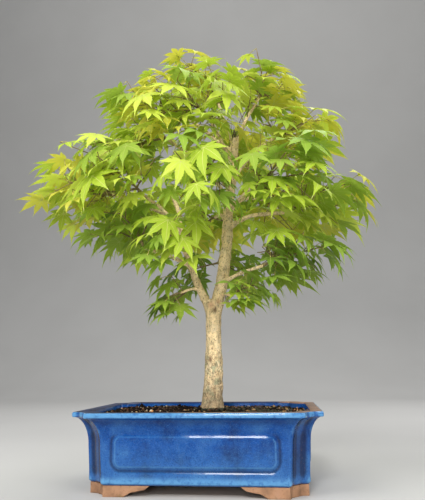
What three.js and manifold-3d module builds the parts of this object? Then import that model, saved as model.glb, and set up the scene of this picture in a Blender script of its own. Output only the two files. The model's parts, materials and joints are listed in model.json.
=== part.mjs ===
// Potted Japanese maple, grown as a bonsai in a rectangular glazed pot.
// Millimetres, +Z up, +X to the viewer's right, +Y away from the viewer.
// The pot is laid out about its own middle, then everything is moved so that the origin
// is at the middle of the whole plant's foot print, on the surface that the feet stand on.

import * as THREE from 'three';
import { mergeVertices } from 'three/addons/utils/BufferGeometryUtils.js';
import Module from 'manifold-3d';

const wasm = await Module();
wasm.setup();

// Pot sizes
const RIM_LENGTH = 256;
const RIM_WIDTH = 190;
const POT_HEIGHT = 81;
const FOOT_HEIGHT = 11;
const CORNER_NOTCH = 19;
const NOTCH_STEP = 8;
const NOTCH_SPLAY = 2.5;
const LIP_HEIGHT = 5;
const WALL_SET_IN = 15.2;
const WALL_LEAN = 1.8;
const COVE_START = 47;
const LOWER_EDGE_ROUND = 1.2;
const RIM_THICKNESS = 11;
const WALL_THICKNESS = 8;
const FLOOR_THICKNESS = 8;
const COVE_STEPS = 5;
const LIP_ROUND = 0.5;
const OVERSHOOT = 1;

// Raised panels on the four walls
const PANEL_LOW = 27;
const PANEL_HIGH = 59;
const PANEL_PROUD = 1.2;
const PANEL_CORNER = 8;
const PANEL_SIDE_MARGIN = 12;
const PANEL_ROOT = 2;

// Bracket feet: how far along the wall each step reaches, and how high it lifts
const FOOT_STEPS = [[21, 0], [28, 4.2], [42, 6.6], [48, FOOT_HEIGHT]];
const SIDE_FOOT_SCALE = 0.8;
const FOOT_THICKNESS = 13;

// Soil
const SOIL_EDGE = 75;
const SOIL_SLOPE = [[26, 76.8], [58, 77.4]];
const SOIL_MOUND = 1.6;
const SOIL_MOUND_REACH = 26;
const SOIL_LUMP = 2.6;
const SOIL_LUMP_SPACING = 26;

const CLEARANCE = 0.3;
const LIMB_SIDES = 6;
const TRUNK_SIDES = 15;
const STEP_LENGTH = 28;
const ROOT_COUNT = 5;
const FLARE_FADE = 6;

// Main limbs: points along the middle as x, y, z and diameter, from root to tip.
// `on` names the limbs that a limb grows from; its root is trimmed to their bark.
const MAIN_LIMBS = {
  trunk: {
    flare: 0.1,
    through: [[8.4, 0, 70, 24.6], [9.2, 0, 88, 22.4], [11, 0, 118, 21.4], [11, 0, 137, 19.6],
      [11.2, 0, 157, 17.4], [11.4, 0, 178, 17.2], [11.6, 0, 191, 19.8], [12, 0, 203, 20.6]],
  },
  leader: {
    on: ['trunk'],
    through: [[14.5, 0, 192, 15.6], [18.4, 0, 208, 15], [23.4, 1, 231, 14.4], [26.3, 2, 254, 13.8],
      [29.4, 3, 282, 12.6], [30.5, 4, 313, 12], [36, 5, 354, 11.2], [40, 6, 394, 10.4],
      [40.6, 6, 409, 10.2]],
  },
  left_bough: {
    on: ['trunk', 'leader'],
    through: [[8, 0, 188, 11], [2.6, -0.5, 203, 10.2], [-7.7, -2, 224, 8.6], [-18, -6, 261, 6.8],
      [-24, -8, 284, 6.2], [-28, -9, 308, 5.6], [-38, -8, 338, 4.8]],
  },
};

// Side limbs: the limb that carries each, how high it leaves that limb, where its tip is,
// its diameter at root and tip, and how far its middle arches above a straight line.
const SIDE_LIMBS = {
  bough_right_low: { on: 'leader', leaves: 224, tip: [72, -24, 238], widths: [4.6, 3.4], arch: 1 },
  bough_right_mid: { on: 'leader', leaves: 290, tip: [104, -8, 306], widths: [5.6, 3.8], arch: 8 },
  bough_right_front: { on: 'leader', leaves: 303, tip: [68, -52, 326], widths: [5, 3.6], arch: 6 },
  bough_right_back: { on: 'leader', leaves: 318, tip: [78, 68, 346], widths: [5.2, 3.6], arch: 7 },
  bough_back: { on: 'leader', leaves: 298, tip: [6, 82, 328], widths: [5.2, 3.6], arch: 7 },
  bough_back_low: { on: 'leader', leaves: 250, tip: [14, 48, 262], widths: [4.6, 3.4], arch: 5 },
  bough_front: { on: 'leader', leaves: 322, tip: [16, -74, 336], widths: [5, 3.6], arch: 4 },
  bough_right_upper: { on: 'leader', leaves: 354, tip: [92, -10, 402], widths: [5, 3.6], arch: 6 },
  bough_left_upper: { on: 'leader', leaves: 344, tip: [-48, -6, 412], widths: [5.2, 3.6], arch: 3 },
  bough_upper_front: { on: 'leader', leaves: 364, tip: [12, -58, 416], widths: [4.8, 3.4], arch: 7 },
  bough_upper_back: { on: 'leader', leaves: 372, tip: [28, 62, 420], widths: [4.8, 3.4], arch: 6 },
  shoot_top: { on: 'leader', leaves: 400, tip: [18, -3, 466], widths: [4.6, 3.4], arch: 0 },
  shoot_top_right: { on: 'leader', leaves: 398, tip: [74, 2, 462], widths: [4.4, 3.4], arch: 3 },
  shoot_top_left: { on: 'leader', leaves: 388, tip: [-36, 6, 454], widths: [4.6, 3.4], arch: 3 },
  bough_left_outer: { on: 'left_bough', leaves: 300, tip: [-116, 0, 340], widths: [5.2, 3.8], arch: 3 },
  bough_left_front: { on: 'left_bough', leaves: 279, tip: [-62, -60, 320], widths: [4.6, 3.4], arch: 6 },
  bough_left_back: { on: 'left_bough', leaves: 259, tip: [-72, 66, 312], widths: [5, 3.6], arch: 4 },
  bough_left_low: { on: 'left_bough', leaves: 244, tip: [-64, -36, 262], widths: [4.6, 3.4], arch: 3 },
  bough_centre_low: { on: 'left_bough', leaves: 253, tip: [-9, -54, 264], widths: [4.2, 3.2], arch: 3 },
  sprig_low_left: { on: 'left_bough', leaves: 215, tip: [-24, -24, 210], widths: [3.4, 2.8], arch: 2 },
  sprig_low_right: { on: 'leader', leaves: 209, tip: [36, -26, 204], widths: [3.4, 2.8], arch: 1 },
};
const ARCH_AT = 0.45;

// Foliage masses: the limb that each grows from, the heart of its own space, how far its
// twigs reach about that heart, how many twigs, its leaves' length and hang, and its colour.
const MASSES = [
  { name: 'foliage_top', on: 'shoot_top', heart: [2, -2, 499],
    spread: [36, 28, 12], twigs: 5, leaf: 35, hang: 8, tint: 'lime' },
  { name: 'foliage_top_right', on: 'shoot_top_right', heart: [78, 0, 474],
    spread: [26, 42, 16], twigs: 5, leaf: 38, hang: 16, tint: 'lime' },
  { name: 'foliage_top_left', on: 'shoot_top_left', heart: [-72, 2, 456],
    spread: [28, 42, 14], twigs: 5, leaf: 37, hang: 14, tint: 'lime' },
  { name: 'foliage_left_upper', on: 'bough_left_upper', heart: [-102, -10, 398],
    spread: [30, 44, 14], twigs: 5, leaf: 40, hang: 18, tint: 'lime' },
  { name: 'foliage_upper_front', on: 'bough_upper_front', heart: [2, -88, 414],
    spread: [46, 16, 28], twigs: 5, leaf: 38, hang: 28, tint: 'lime' },
  { name: 'foliage_upper_back', on: 'bough_upper_back', heart: [22, 94, 428],
    spread: [42, 22, 28], twigs: 4, leaf: 40, hang: 24, tint: 'lime' },
  { name: 'foliage_right_upper', on: 'bough_right_upper', heart: [104, -12, 402],
    spread: [26, 42, 20], twigs: 5, leaf: 40, hang: 22, tint: 'gold' },
  { name: 'foliage_left_outer', on: 'bough_left_outer', heart: [-152, -4, 344],
    spread: [24, 46, 18], twigs: 5, leaf: 39, hang: 22, tint: 'lime' },
  { name: 'foliage_left_front', on: 'bough_left_front', heart: [-80, -88, 338],
    spread: [42, 18, 30], twigs: 6, leaf: 41, hang: 30, tint: 'lime' },
  { name: 'foliage_front', on: 'bough_front', heart: [12, -114, 322],
    spread: [38, 14, 30], twigs: 5, leaf: 41, hang: 40, tint: 'gold' },
  { name: 'foliage_right_front', on: 'bough_right_front', heart: [94, -83, 332],
    spread: [34, 18, 32], twigs: 6, leaf: 40, hang: 32, tint: 'green' },
  { name: 'foliage_right_outer', on: 'bough_right_mid', heart: [142, -2, 326],
    spread: [26, 44, 11], twigs: 5, leaf: 41, hang: 26, tint: 'green' },
  { name: 'foliage_right_back', on: 'bough_right_back', heart: [98, 96, 346],
    spread: [40, 28, 32], twigs: 4, leaf: 40, hang: 30, tint: 'lime' },
  { name: 'foliage_back', on: 'bough_back', heart: [-4, 120, 334],
    spread: [44, 18, 34], twigs: 5, leaf: 42, hang: 34, tint: 'lime' },
  { name: 'foliage_left_back', on: 'bough_left_back', heart: [-96, 92, 334],
    spread: [38, 30, 32], twigs: 5, leaf: 40, hang: 30, tint: 'lime' },
  { name: 'foliage_left_low', on: 'bough_left_low', heart: [-76, -34, 292],
    spread: [24, 30, 10], twigs: 4, leaf: 40, hang: 38, tint: 'green' },
  { name: 'foliage_centre_low', on: 'bough_centre_low', heart: [-24, -80, 264],
    spread: [26, 12, 10], twigs: 3, leaf: 34, hang: 40, tint: 'gold' },
  { name: 'foliage_right_low', on: 'bough_right_low', heart: [102, -26, 254],
    spread: [30, 32, 9], twigs: 4, leaf: 37, hang: 28, tint: 'green' },
  { name: 'foliage_back_low', on: 'bough_back_low', heart: [8, 74, 254],
    spread: [36, 18, 10], twigs: 3, leaf: 36, hang: 34, tint: 'green' },
  { name: 'foliage_low_left', on: 'sprig_low_left', heart: [-34, -36, 206],
    spread: [6, 6, 4], twigs: 1, leaf: 31, hang: 22, tint: 'green' },
  { name: 'foliage_low_right', on: 'sprig_low_right', heart: [52, -38, 212],
    spread: [10, 10, 4], twigs: 2, leaf: 31, hang: 26, tint: 'green' },
];

// Leaf sizes, as shares of its length: seven lobes about the point where the stalk joins
const LEAF_LOBES = [[0, 1], [38, 0.92], [78, 0.7], [124, 0.4]];
const LEAF_SINUSES = [[19, 0.42], [58, 0.38], [100, 0.28], [180, 0.06]];
const LEAF_POINTS = 14;
const LEAF_THICKNESS = 0.04;
const LEAF_DROOP = 0.22;
const LEAF_CREST = 0.12;
const STALK_LENGTH = [12, 24];
const STALK_WIDTH = 1.1;
const ROLL = 26;
const HANG_SPREAD = 22;
const LEAF_SIZE_SPREAD = 0.22;

// Each leaf's tries: the angle of its stalk to the twig, and its size against a full one
const LEAF_TRIES = [[58, 1], [96, 0.9], [24, 0.9], [128, 0.8], [70, 0.75]];
const LEAF_NODES = [0.95, 0.5];
const PAIR_TURN = 0.8;
const STALK_PULL = 1.4;
const TWIG_WIDTH = 2.5;
const TWIG_END_WIDTH = 2;
const TWIG_ROOTED = 0.2;
const STALK_ROOTED = 0.3;
const STEM_SHARE = 0.5;
const STEM_SUNK = 2;
const FIRST_TWIG = 0.35;
const LAST_TWIG = 0.95;
const GOLDEN_ANGLE = 137.5;
const CELL_MARGIN = 0.3;
const LIMB_CLEARANCE = 2;
const LOWEST_LEAF = 92;
const LEAF_SPACING = 0.6;
const SMALLEST_DETAIL = 0.05;
const SEED = 303;

// Colours and surfaces
const FINISHES = {
  glaze: { color: 0x1f5fae, roughness: 0.15, metalness: 0 },
  clay: { color: 0xc98a63, roughness: 0.85, metalness: 0 },
  soil: { color: 0x2a211b, roughness: 1, metalness: 0 },
  bark: { color: 0x9c8b74, roughness: 0.8, metalness: 0 },
  lime: { color: 0x9cc23a, roughness: 0.55, metalness: 0 },
  gold: { color: 0xbfca3c, roughness: 0.55, metalness: 0 },
  green: { color: 0x5f9a35, roughness: 0.55, metalness: 0 },
};

const UP = new THREE.Vector3(0, 0, 1);
const vector = ([x, y, z]) => new THREE.Vector3(x, y, z);
const radians = THREE.MathUtils.degToRad;

// Solids

function asSolid(geometry) {
  const bare = geometry.clone();
  bare.deleteAttribute('normal');
  bare.deleteAttribute('uv');
  const merged = mergeVertices(bare, 1e-4);
  const mesh = new wasm.Mesh({
    numProp: 3,
    vertProperties: new Float32Array(merged.attributes.position.array),
    triVerts: new Uint32Array(merged.index.array),
  });
  return new wasm.Manifold(mesh);
}

function asGeometry(solid) {
  const mesh = solid.getMesh();
  const geometry = new THREE.BufferGeometry();
  geometry.setAttribute('position', new THREE.BufferAttribute(new Float32Array(mesh.vertProperties), 3));
  geometry.setIndex(new THREE.BufferAttribute(new Uint32Array(mesh.triVerts), 1));
  geometry.computeVertexNormals();
  return geometry;
}

// The largest body of a solid, with loose scraps dropped and sealed hollows filled.
function mainBody(solid) {
  let largest = null;
  for (const body of solid.decompose()) {
    if (!largest || body.volume() > largest.volume()) largest = body;
  }
  return largest;
}

function moveEachVertex(geometry, move) {
  const position = geometry.attributes.position;
  const vertex = new THREE.Vector3();
  for (let i = 0; i < position.count; i += 1) {
    vertex.fromBufferAttribute(position, i);
    move(vertex);
    position.setXYZ(i, vertex.x, vertex.y, vertex.z);
  }
  return geometry;
}

// Pot

// The rim's outline: a rectangle whose corners are cut back in a step with a splayed face.
function rimOutline() {
  const halfLength = RIM_LENGTH / 2;
  const halfWidth = RIM_WIDTH / 2;
  const frontEnd = halfLength - CORNER_NOTCH;
  const sideEnd = halfWidth - CORNER_NOTCH;
  const corner = [
    [halfLength, sideEnd],
    [halfLength - NOTCH_STEP, sideEnd + NOTCH_SPLAY],
    [frontEnd + NOTCH_SPLAY, halfWidth - NOTCH_STEP],
    [frontEnd, halfWidth],
  ];
  const mirrored = [...corner].reverse();
  return [
    ...corner,
    ...mirrored.map(([x, y]) => [-x, y]),
    ...corner.map(([x, y]) => [-x, -y]),
    ...mirrored.map(([x, y]) => [x, -y]),
  ];
}

// A body lofted through the rim's outline, set in by each level's own amount.
function loft(levels) {
  const shape = new THREE.Shape(rimOutline().map(([x, y]) => new THREE.Vector2(x, y)));
  const steps = levels.length - 1;
  const geometry = new THREE.ExtrudeGeometry(shape, { depth: 1, steps, bevelEnabled: false });
  return moveEachVertex(geometry, (vertex) => {
    const [setIn, height] = levels[Math.round(vertex.z * steps)];
    vertex.x -= Math.sign(vertex.x) * setIn;
    vertex.y -= Math.sign(vertex.y) * setIn;
    vertex.z = height;
  });
}

// Outer wall: leans out a little, then sweeps to the lip in a quarter-ellipse cove.
function outerLevels() {
  const coveDepth = WALL_SET_IN - WALL_LEAN;
  const coveHeight = POT_HEIGHT - LIP_HEIGHT - COVE_START;
  const levels = [
    [WALL_SET_IN + LOWER_EDGE_ROUND, FOOT_HEIGHT],
    [WALL_SET_IN, FOOT_HEIGHT + 2 * LOWER_EDGE_ROUND],
  ];
  for (let step = 0; step <= COVE_STEPS; step += 1) {
    const turn = (step / COVE_STEPS) * (Math.PI / 2);
    levels.push([coveDepth * Math.cos(turn), COVE_START + coveHeight * Math.sin(turn)]);
  }
  levels.push([0, POT_HEIGHT - LIP_ROUND], [LIP_ROUND, POT_HEIGHT]);
  return levels;
}

function innerSetIn(height) {
  const bottom = WALL_SET_IN + WALL_THICKNESS;
  const share = (height - FOOT_HEIGHT) / (POT_HEIGHT - FOOT_HEIGHT);
  return bottom + (RIM_THICKNESS - bottom) * share;
}

function wallPanel(length) {
  const half = length / 2;
  const inner = half - PANEL_CORNER;
  const [low, high] = [PANEL_LOW, PANEL_HIGH];
  const shape = new THREE.Shape([
    [-inner, low], [inner, low], [half, low + PANEL_CORNER], [half, high - PANEL_CORNER],
    [inner, high], [-inner, high], [-half, high - PANEL_CORNER], [-half, low + PANEL_CORNER],
  ].map(([x, y]) => new THREE.Vector2(x, y)));
  return new THREE.ExtrudeGeometry(shape, { depth: PANEL_PROUD + PANEL_ROOT, bevelEnabled: false });
}

// Four panels, each leaning with its wall.
function panelSolids() {
  const slope = WALL_LEAN / (COVE_START - FOOT_HEIGHT);
  const panels = [];
  for (let side = 0; side < 4; side += 1) {
    const along = side % 2 === 0 ? RIM_LENGTH : RIM_WIDTH;
    const across = side % 2 === 0 ? RIM_WIDTH : RIM_LENGTH;
    const wallLength = along - 2 * (CORNER_NOTCH + WALL_SET_IN);
    const geometry = wallPanel(wallLength - 2 * PANEL_SIDE_MARGIN);
    geometry.rotateX(Math.PI / 2);
    moveEachVertex(geometry, (vertex) => {
      const wall = across / 2 - WALL_SET_IN + slope * (vertex.z - FOOT_HEIGHT);
      vertex.y -= wall - PANEL_ROOT;
    });
    geometry.rotateZ((side * Math.PI) / 2);
    panels.push(asSolid(geometry));
  }
  return panels;
}

function potSolid() {
  const floor = FOOT_HEIGHT + FLOOR_THICKNESS;
  const open = POT_HEIGHT + OVERSHOOT;
  const cavity = loft([[innerSetIn(floor), floor], [innerSetIn(open), open]]);
  const walls = wasm.Manifold.union([asSolid(loft(outerLevels())), ...panelSolids()]);
  return walls.subtract(asSolid(cavity));
}

// Height of the soil without its lumps: low along the wall, mounded about the trunk.
function soilRise(x, y) {
  const inward = Math.min(RIM_LENGTH / 2 - Math.abs(x), RIM_WIDTH / 2 - Math.abs(y)) - RIM_THICKNESS;
  let [from, low] = [0, SOIL_EDGE];
  for (const [to, high] of SOIL_SLOPE) {
    if (inward < to) return THREE.MathUtils.lerp(low, high, Math.max(0, (inward - from) / (to - from)));
    [from, low] = [to, high];
  }
  const [trunkX, trunkY] = MAIN_LIMBS.trunk.through[0];
  const away = Math.hypot(x - trunkX, y - trunkY);
  return low + SOIL_MOUND * Math.max(0, 1 - away / SOIL_MOUND_REACH);
}

// A block whose top is lumpy soil, trimmed to the pot's inside.
function soilSolid() {
  const random = seeded(SEED);
  const columns = Math.round(RIM_LENGTH / SOIL_LUMP_SPACING);
  const rows = Math.round(RIM_WIDTH / SOIL_LUMP_SPACING);
  const block = new THREE.BoxGeometry(RIM_LENGTH, RIM_WIDTH, 1, columns, rows, 1);
  const lumps = Array.from({ length: (columns + 1) * (rows + 1) }, () => SOIL_LUMP * (random() - 0.5));
  moveEachVertex(block, (vertex) => {
    const column = Math.round((vertex.x / RIM_LENGTH + 0.5) * columns);
    const row = Math.round((vertex.y / RIM_WIDTH + 0.5) * rows);
    const top = soilRise(vertex.x, vertex.y) + lumps[row * (columns + 1) + column];
    vertex.z = vertex.z > 0 ? top : 0;
  });
  const floor = FOOT_HEIGHT + FLOOR_THICKNESS + CLEARANCE;
  const inside = [floor, POT_HEIGHT].map((height) => [innerSetIn(height) + CLEARANCE, height]);
  return asSolid(block).intersect(asSolid(loft(inside)));
}

// The space under a bracket foot's stepped edge, as a prism right across the pot.
function footCut(direction, corner, scale) {
  const reach = 2 * RIM_LENGTH;
  const profile = [
    [FOOT_STEPS[0][0] * scale, -OVERSHOOT],
    ...FOOT_STEPS.map(([along, lift]) => [along * scale, lift]),
    [reach, FOOT_HEIGHT + OVERSHOOT],
    [reach, -OVERSHOOT],
  ];
  const points = profile.map(([along, lift]) => new THREE.Vector2(direction * (corner - along), lift));
  const shape = new THREE.Shape(points);
  const geometry = new THREE.ExtrudeGeometry(shape, { depth: reach, bevelEnabled: false });
  return geometry.rotateX(Math.PI / 2).translate(0, reach / 2, 0);
}

// Four brackets that follow the pot's corners, lower at the corner than along the walls.
function footSolids() {
  const top = FOOT_HEIGHT - CLEARANCE;
  const outer = WALL_SET_IN + LOWER_EDGE_ROUND;
  const inner = outer + FOOT_THICKNESS;
  const ring = asSolid(loft([[outer, 0], [outer, top]]))
    .subtract(asSolid(loft([[inner, -OVERSHOOT], [inner, top + OVERSHOOT]])));
  const frontCorner = RIM_LENGTH / 2 - outer - CORNER_NOTCH;
  const sideCorner = RIM_WIDTH / 2 - outer - CORNER_NOTCH;
  const feet = {};
  for (const [depthName, depthSign] of [['front', -1], ['back', 1]]) {
    for (const [sideName, sideSign] of [['left', -1], ['right', 1]]) {
      const frontCut = asSolid(footCut(sideSign, frontCorner, 1));
      const sideCut = asSolid(footCut(depthSign, sideCorner, SIDE_FOOT_SCALE).rotateZ(Math.PI / 2));
      feet[`foot_${depthName}_${sideName}`] = mainBody(ring.subtract(frontCut).subtract(sideCut));
    }
  }
  return feet;
}

// Limbs

class Limb {
  constructor({ points, widths, on = [], flare = 0 }) {
    this.on = on;
    this.flare = flare;
    this.widths = widths;
    this.curve = new THREE.CatmullRomCurve3(points, false, 'centripetal');
    this.shares = [0];
    for (let i = 1; i < points.length; i += 1) {
      this.shares.push(this.shares[i - 1] + points[i].distanceTo(points[i - 1]));
    }
    const length = this.shares[this.shares.length - 1];
    this.shares = this.shares.map((share) => share / length);
    this.steps = Math.max(3, Math.round(length / STEP_LENGTH));
  }

  radiusAt(share) {
    const last = this.shares.length - 1;
    let i = 1;
    while (i < last && this.shares[i] < share) i += 1;
    const along = (share - this.shares[i - 1]) / (this.shares[i] - this.shares[i - 1]);
    return THREE.MathUtils.lerp(this.widths[i - 1], this.widths[i], along) / 2;
  }

  tip() {
    return this.curve.getPointAt(1);
  }

  // The point of the middle line at a given height.
  pointAtHeight(height) {
    const { points } = this.curve;
    let i = 1;
    while (i < points.length - 1 && points[i].z < height) i += 1;
    const share = (height - points[i - 1].z) / (points[i].z - points[i - 1].z);
    return points[i - 1].clone().lerp(points[i], share);
  }

  // A bent and tapered cylinder, grown by `extra` all over where it trims its neighbours.
  solid(extra = 0) {
    const { steps, curve } = this;
    const frames = curve.computeFrenetFrames(steps, false);
    const geometry = new THREE.CylinderGeometry(1, 1, 1, this.flare ? TRUNK_SIDES : LIMB_SIDES, steps);
    moveEachVertex(geometry, (vertex) => {
      const ring = Math.round((vertex.y + 0.5) * steps);
      const share = ring / steps;
      const turn = Math.atan2(vertex.x, vertex.z);
      const root = this.flare * Math.max(0, 1 - share * FLARE_FADE) * Math.cos(ROOT_COUNT * turn);
      const radius = this.radiusAt(share) * (1 + root) + extra;
      const centre = curve.getPointAt(share);
      if (ring === 0) centre.addScaledVector(frames.tangents[0], -extra);
      if (ring === steps) centre.addScaledVector(frames.tangents[steps], extra);
      centre.addScaledVector(frames.normals[ring], vertex.z * radius);
      centre.addScaledVector(frames.binormals[ring], vertex.x * radius);
      vertex.copy(centre);
    });
    return asSolid(geometry);
  }

  // Short straight stretches with their thickness, to keep leaves and twigs away from.
  stretches() {
    const pieces = 2 * this.steps;
    const stretches = [];
    for (let i = 0; i < pieces; i += 1) {
      const [start, end] = [i, i + 1].map((piece) => this.curve.getPointAt(piece / pieces));
      const line = new THREE.Line3(start, end);
      stretches.push({ line, radius: this.radiusAt(i / pieces) });
    }
    return stretches;
  }
}

function mainLimb({ through, on, flare }) {
  return new Limb({ points: through.map(vector), widths: through.map((point) => point[3]), on, flare });
}

function sideLimb({ on, leaves, tip, widths, arch }, carrier) {
  const root = carrier.pointAtHeight(leaves);
  const end = vector(tip);
  const middle = root.clone().lerp(end, ARCH_AT).addScaledVector(UP, arch);
  const middleWidth = THREE.MathUtils.lerp(widths[0], widths[1], ARCH_AT);
  return new Limb({ points: [root, middle, end], widths: [widths[0], middleWidth, widths[1]], on: [on] });
}

function buildLimbs() {
  const limbs = {};
  for (const [name, spec] of Object.entries(MAIN_LIMBS)) limbs[name] = mainLimb(spec);
  for (const [name, spec] of Object.entries(SIDE_LIMBS)) limbs[name] = sideLimb(spec, limbs[spec.on]);
  return limbs;
}

function limbSolids(limbs, soil) {
  const solids = {};
  for (const [name, limb] of Object.entries(limbs)) {
    let solid = limb.solid();
    for (const carrier of limb.on) solid = solid.subtract(limbs[carrier].solid(CLEARANCE));
    solids[name] = mainBody(solid);
  }
  solids.trunk = solids.trunk.subtract(soil.translate([0, 0, CLEARANCE]));
  return solids;
}

// Foliage

function seeded(seed) {
  let state = seed >>> 0;
  return () => {
    state = (state + 0x6d2b79f5) >>> 0;
    let t = Math.imul(state ^ (state >>> 15), state | 1);
    t = (t + Math.imul(t ^ (t >>> 7), t | 61)) ^ t;
    return ((t ^ (t >>> 14)) >>> 0) / 4294967296;
  };
}

const between = (random, [low, high]) => low + (high - low) * random();

// Where a mass's twigs reach: a rising spiral about its heart.
function reachPoints({ heart, spread, twigs }, random) {
  const phase = 360 * random();
  return Array.from({ length: twigs }, (_, index) => {
    const turn = radians(phase + index * GOLDEN_ANGLE);
    const rise = (2 * index + 1) / twigs - 1;
    return new THREE.Vector3(
      heart[0] + spread[0] * Math.cos(turn),
      heart[1] + spread[1] * Math.sin(turn),
      heart[2] + spread[2] * rise,
    );
  });
}

// A mass's own space: everything nearer to its heart than to another mass's, above the pot.
function ownSpace(mass) {
  const heart = vector(mass.heart);
  const planes = [new THREE.Plane(UP, -LOWEST_LEAF)];
  for (const other of MASSES) {
    if (other === mass) continue;
    const away = heart.clone().sub(vector(other.heart));
    const middle = heart.clone().add(vector(other.heart)).multiplyScalar(0.5);
    const plane = new THREE.Plane().setFromNormalAndCoplanarPoint(away.normalize(), middle);
    plane.constant -= CELL_MARGIN;
    planes.push(plane);
  }
  return (point) => planes.every((plane) => plane.distanceToPoint(point) > 0);
}

function outlinePoint(leaf, index) {
  const step = Math.min(index, LEAF_POINTS - index);
  const side = index <= LEAF_POINTS / 2 ? 1 : -1;
  const [degrees, reach] = step % 2 === 0 ? LEAF_LOBES[step / 2] : LEAF_SINUSES[(step - 1) / 2];
  const out = leaf.length * reach;
  const angle = radians(degrees) * side;
  return new THREE.Vector3(out * Math.cos(angle), out * Math.sin(angle), -LEAF_DROOP * out * reach);
}

function leafOutline(leaf) {
  return Array.from({ length: LEAF_POINTS }, (_, index) => (
    outlinePoint(leaf, index).applyMatrix4(leaf.place)
  ));
}

// Whether a line goes through a leaf's blade.
function pierces(line, leaf) {
  const { outline, stalkEnd } = leaf;
  const length = line.distance();
  const ray = new THREE.Ray(line.start, line.delta(new THREE.Vector3()).normalize());
  const hit = new THREE.Vector3();
  return outline.some((point, index) => {
    const next = outline[(index + 1) % LEAF_POINTS];
    const meets = ray.intersectTriangle(stalkEnd, point, next, false, hit) !== null;
    return meets && hit.distanceTo(line.start) < length;
  });
}

function bladesCross(leaf, other) {
  const edges = ({ outline }) => outline
    .map((point, index) => new THREE.Line3(point, outline[(index + 1) % LEAF_POINTS]));
  return edges(leaf).some((edge) => pierces(edge, other))
    || edges(other).some((edge) => pierces(edge, leaf));
}

// A leaf is a flat double pyramid over its seven-lobed outline.
function leafGeometry(leaf) {
  const { outline } = leaf;
  const geometry = new THREE.SphereGeometry(1, LEAF_POINTS, 2);
  return moveEachVertex(geometry, (vertex) => {
    if (Math.abs(vertex.y) > 0.5) {
      vertex.set(LEAF_CREST * leaf.length, 0, (Math.sign(vertex.y) * LEAF_THICKNESS * leaf.length) / 2);
      vertex.applyMatrix4(leaf.place);
      return;
    }
    const turn = Math.atan2(vertex.z, -vertex.x) / (2 * Math.PI) + 1;
    vertex.copy(outline[Math.round(turn * LEAF_POINTS) % LEAF_POINTS]);
  });
}

// A three-sided rod, for twigs and leaf stalks.
function rodGeometry({ from, to, startWidth, endWidth }) {
  const along = to.clone().sub(from);
  const geometry = new THREE.CylinderGeometry(endWidth / 2, startWidth / 2, along.length(), 3);
  const upright = new THREE.Vector3(0, 1, 0);
  const turn = new THREE.Quaternion().setFromUnitVectors(upright, along.clone().normalize());
  geometry.translate(0, along.length() / 2, 0).applyQuaternion(turn);
  return geometry.translate(from.x, from.y, from.z);
}

// A leaf's blade: it points away from the crown's middle and hangs down from its stalk.
function placeLeaf(random, mass, stalkEnd, stalkAlong, length) {
  const outward = new THREE.Vector3(stalkEnd.x, stalkEnd.y, 0).normalize();
  const ahead = new THREE.Vector3(stalkAlong.x, stalkAlong.y, 0)
    .multiplyScalar(STALK_PULL).add(outward).normalize();
  const hang = radians(mass.hang + HANG_SPREAD * (2 * random() - 1));
  const roll = radians(ROLL * (2 * random() - 1));
  const midrib = ahead.clone().multiplyScalar(Math.cos(hang)).addScaledVector(UP, -Math.sin(hang));
  const across = new THREE.Vector3().crossVectors(UP, ahead).normalize().applyAxisAngle(midrib, roll);
  const face = new THREE.Vector3().crossVectors(midrib, across);
  const place = new THREE.Matrix4().makeBasis(midrib, across, face).setPosition(stalkEnd);
  const leaf = { length, place, stalkEnd };
  leaf.outline = leafOutline(leaf);
  return leaf;
}

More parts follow.
